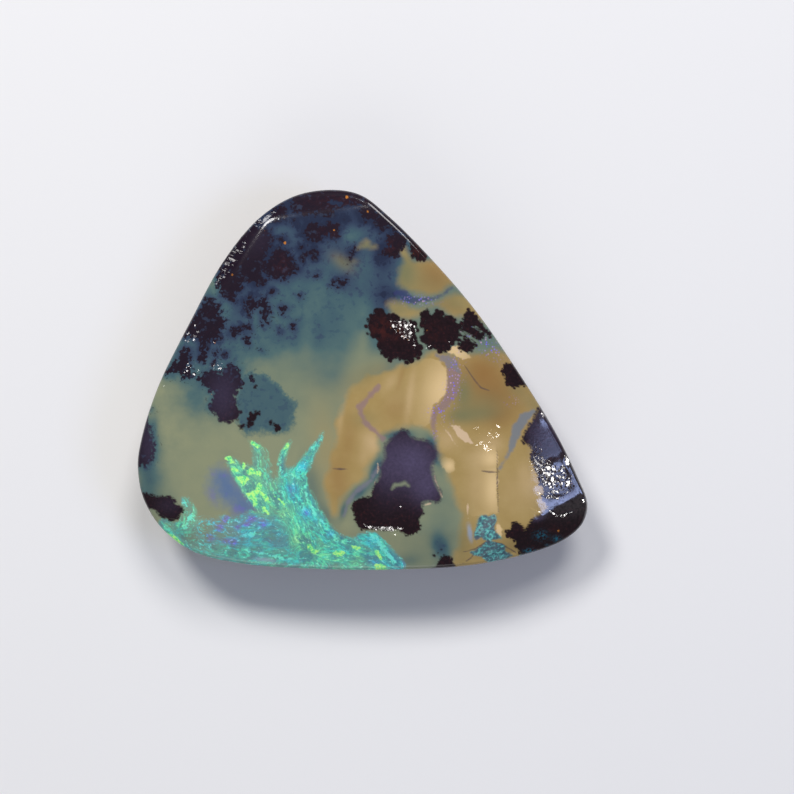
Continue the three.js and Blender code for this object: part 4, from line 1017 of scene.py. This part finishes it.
relief = total(times(noise(0.9, 2.0, 0.4), rise(field("shine"), 0.1, 0.6), 0.05), times(specks, 0.002),
               times(rock_share, noise(2.5, 8.0, 0.75), 0.5))
bump = put("ShaderNodeBump", {"Height": relief, "Distance": MM, "Strength": 1.0})
facing = put("ShaderNodeMix", {0: most(pitted, net, scored, lined), 4: bump.outputs["Normal"],
                               5: broken_face}, data_type="VECTOR").outputs[1]
facing = put("ShaderNodeVectorMath", {0: facing}, operation="NORMALIZE").outputs["Vector"]

# The polish as a coat, full where the ironstone shines, thin over the opal, and gone where the lap's
# scratches or the rock are.
OPAL_GLAZE = 0.125
glaze = line(times(field("shine"), rise(specks, 0.2, 0.55)), 1 - OPAL_GLAZE, OPAL_GLAZE)
dulled = most(rise(field("scratches"), 0.1, 0.35), rock_share)
shader = put("ShaderNodeBsdfPrincipled", {
    "Base Color": body, "Normal": facing, "IOR": 1.25,
    "Roughness": total(times(specks, 0.06), times(rock_share, 0.55), times(field("shine"), 0.08),
                       times(net, 0.12), 0.07),
    "Coat Weight": times(glaze, calc("SUBTRACT", 1.0, dulled)), "Coat Roughness": 0.12, "Coat IOR": 2.4,
    "Coat Normal": facing,
})
put("ShaderNodeOutputMaterial", {"Surface": shader.outputs["BSDF"]})
mesh.materials.append(polished)

# The floor: plain pale paper under the stone, which isn't part of it.
FLOOR_HALF = 1.0
FLOOR_CORNERS = [(-FLOOR_HALF, -FLOOR_HALF, 0), (FLOOR_HALF, -FLOOR_HALF, 0), (FLOOR_HALF, FLOOR_HALF, 0),
                 (-FLOOR_HALF, FLOOR_HALF, 0)]
floor_mesh = bpy.data.meshes.new("floor")
floor_mesh.from_pydata(FLOOR_CORNERS, [], [(0, 1, 2, 3)])
floor = bpy.data.objects.new("floor", floor_mesh)
bpy.context.scene.collection.objects.link(floor)
paper = bpy.data.materials.new("pale_paper")
paper.use_nodes = True
paper.node_tree.nodes["Principled BSDF"].inputs["Base Color"].default_value = (0.78, 0.78, 0.78, 1)
paper.node_tree.nodes["Principled BSDF"].inputs["Roughness"].default_value = 0.9
floor_mesh.materials.append(paper)

# The lights: soft boxes round the stone, set so that only its right shoulder and its breaks throw them back.
LIGHTS = [  # name, bearing and height in degrees, width in metres, share of the light, colour
    ("key_light", 121, 45, 0.08, 0.43, (1.0, 0.98, 0.96)),
    ("far_light", 75, 49, 0.12, 0.35, (1.0, 0.98, 0.97)),
    ("front_light", 262, 26, 0.20, 0.09, (1.0, 0.98, 0.97)),
    ("right_light", -13, 47, 0.12, 0.12, (0.45, 0.56, 1.0)),
]
LIGHT_DISTANCE = 0.30
for name, bearing_deg, height_deg, width, share, tint in LIGHTS:
    bearing_rad, height_rad = np.radians((bearing_deg, height_deg))
    lamp = bpy.data.lights.new(name, "AREA")
    lamp.shape = "DISK"
    lamp.size = width
    lamp.energy = share * np.pi**2 * LIGHT_DISTANCE**2 / np.sin(height_rad)
    lamp.color = tint
    placed = bpy.data.objects.new(name, lamp)
    placed.location = LIGHT_DISTANCE * Vector((np.cos(height_rad) * np.cos(bearing_rad),
                                               np.cos(height_rad) * np.sin(bearing_rad), np.sin(height_rad)))
    placed.rotation_euler = placed.location.to_track_quat("Z", "Y").to_euler()
    bpy.context.scene.collection.objects.link(placed)

world = bpy.data.worlds.new("studio")
world.use_nodes = True
world.node_tree.nodes["Background"].inputs["Color"].default_value = (0.16, 0.165, 0.175, 1)
bpy.context.scene.world = world
bpy.context.scene.view_settings.view_transform = "Standard"

# The camera: straight above, as the stone is seen flat on, with the stone up and left of the middle.
PICTURE_WIDTH = 39.7 * MM
PICTURE_MIDDLE = Vector((1.705 * MM, -0.885 * MM, 3.4 * MM))
LENS, SENSOR = 100, 36
camera = bpy.data.objects.new("camera", bpy.data.cameras.new("camera"))
camera.data.lens = LENS
camera.data.sensor_width = SENSOR
camera.data.clip_start = 0.005
camera.location = PICTURE_MIDDLE + Vector((0, 0, PICTURE_WIDTH * LENS / SENSOR))
bpy.context.scene.collection.objects.link(camera)
bpy.context.scene.camera = camera
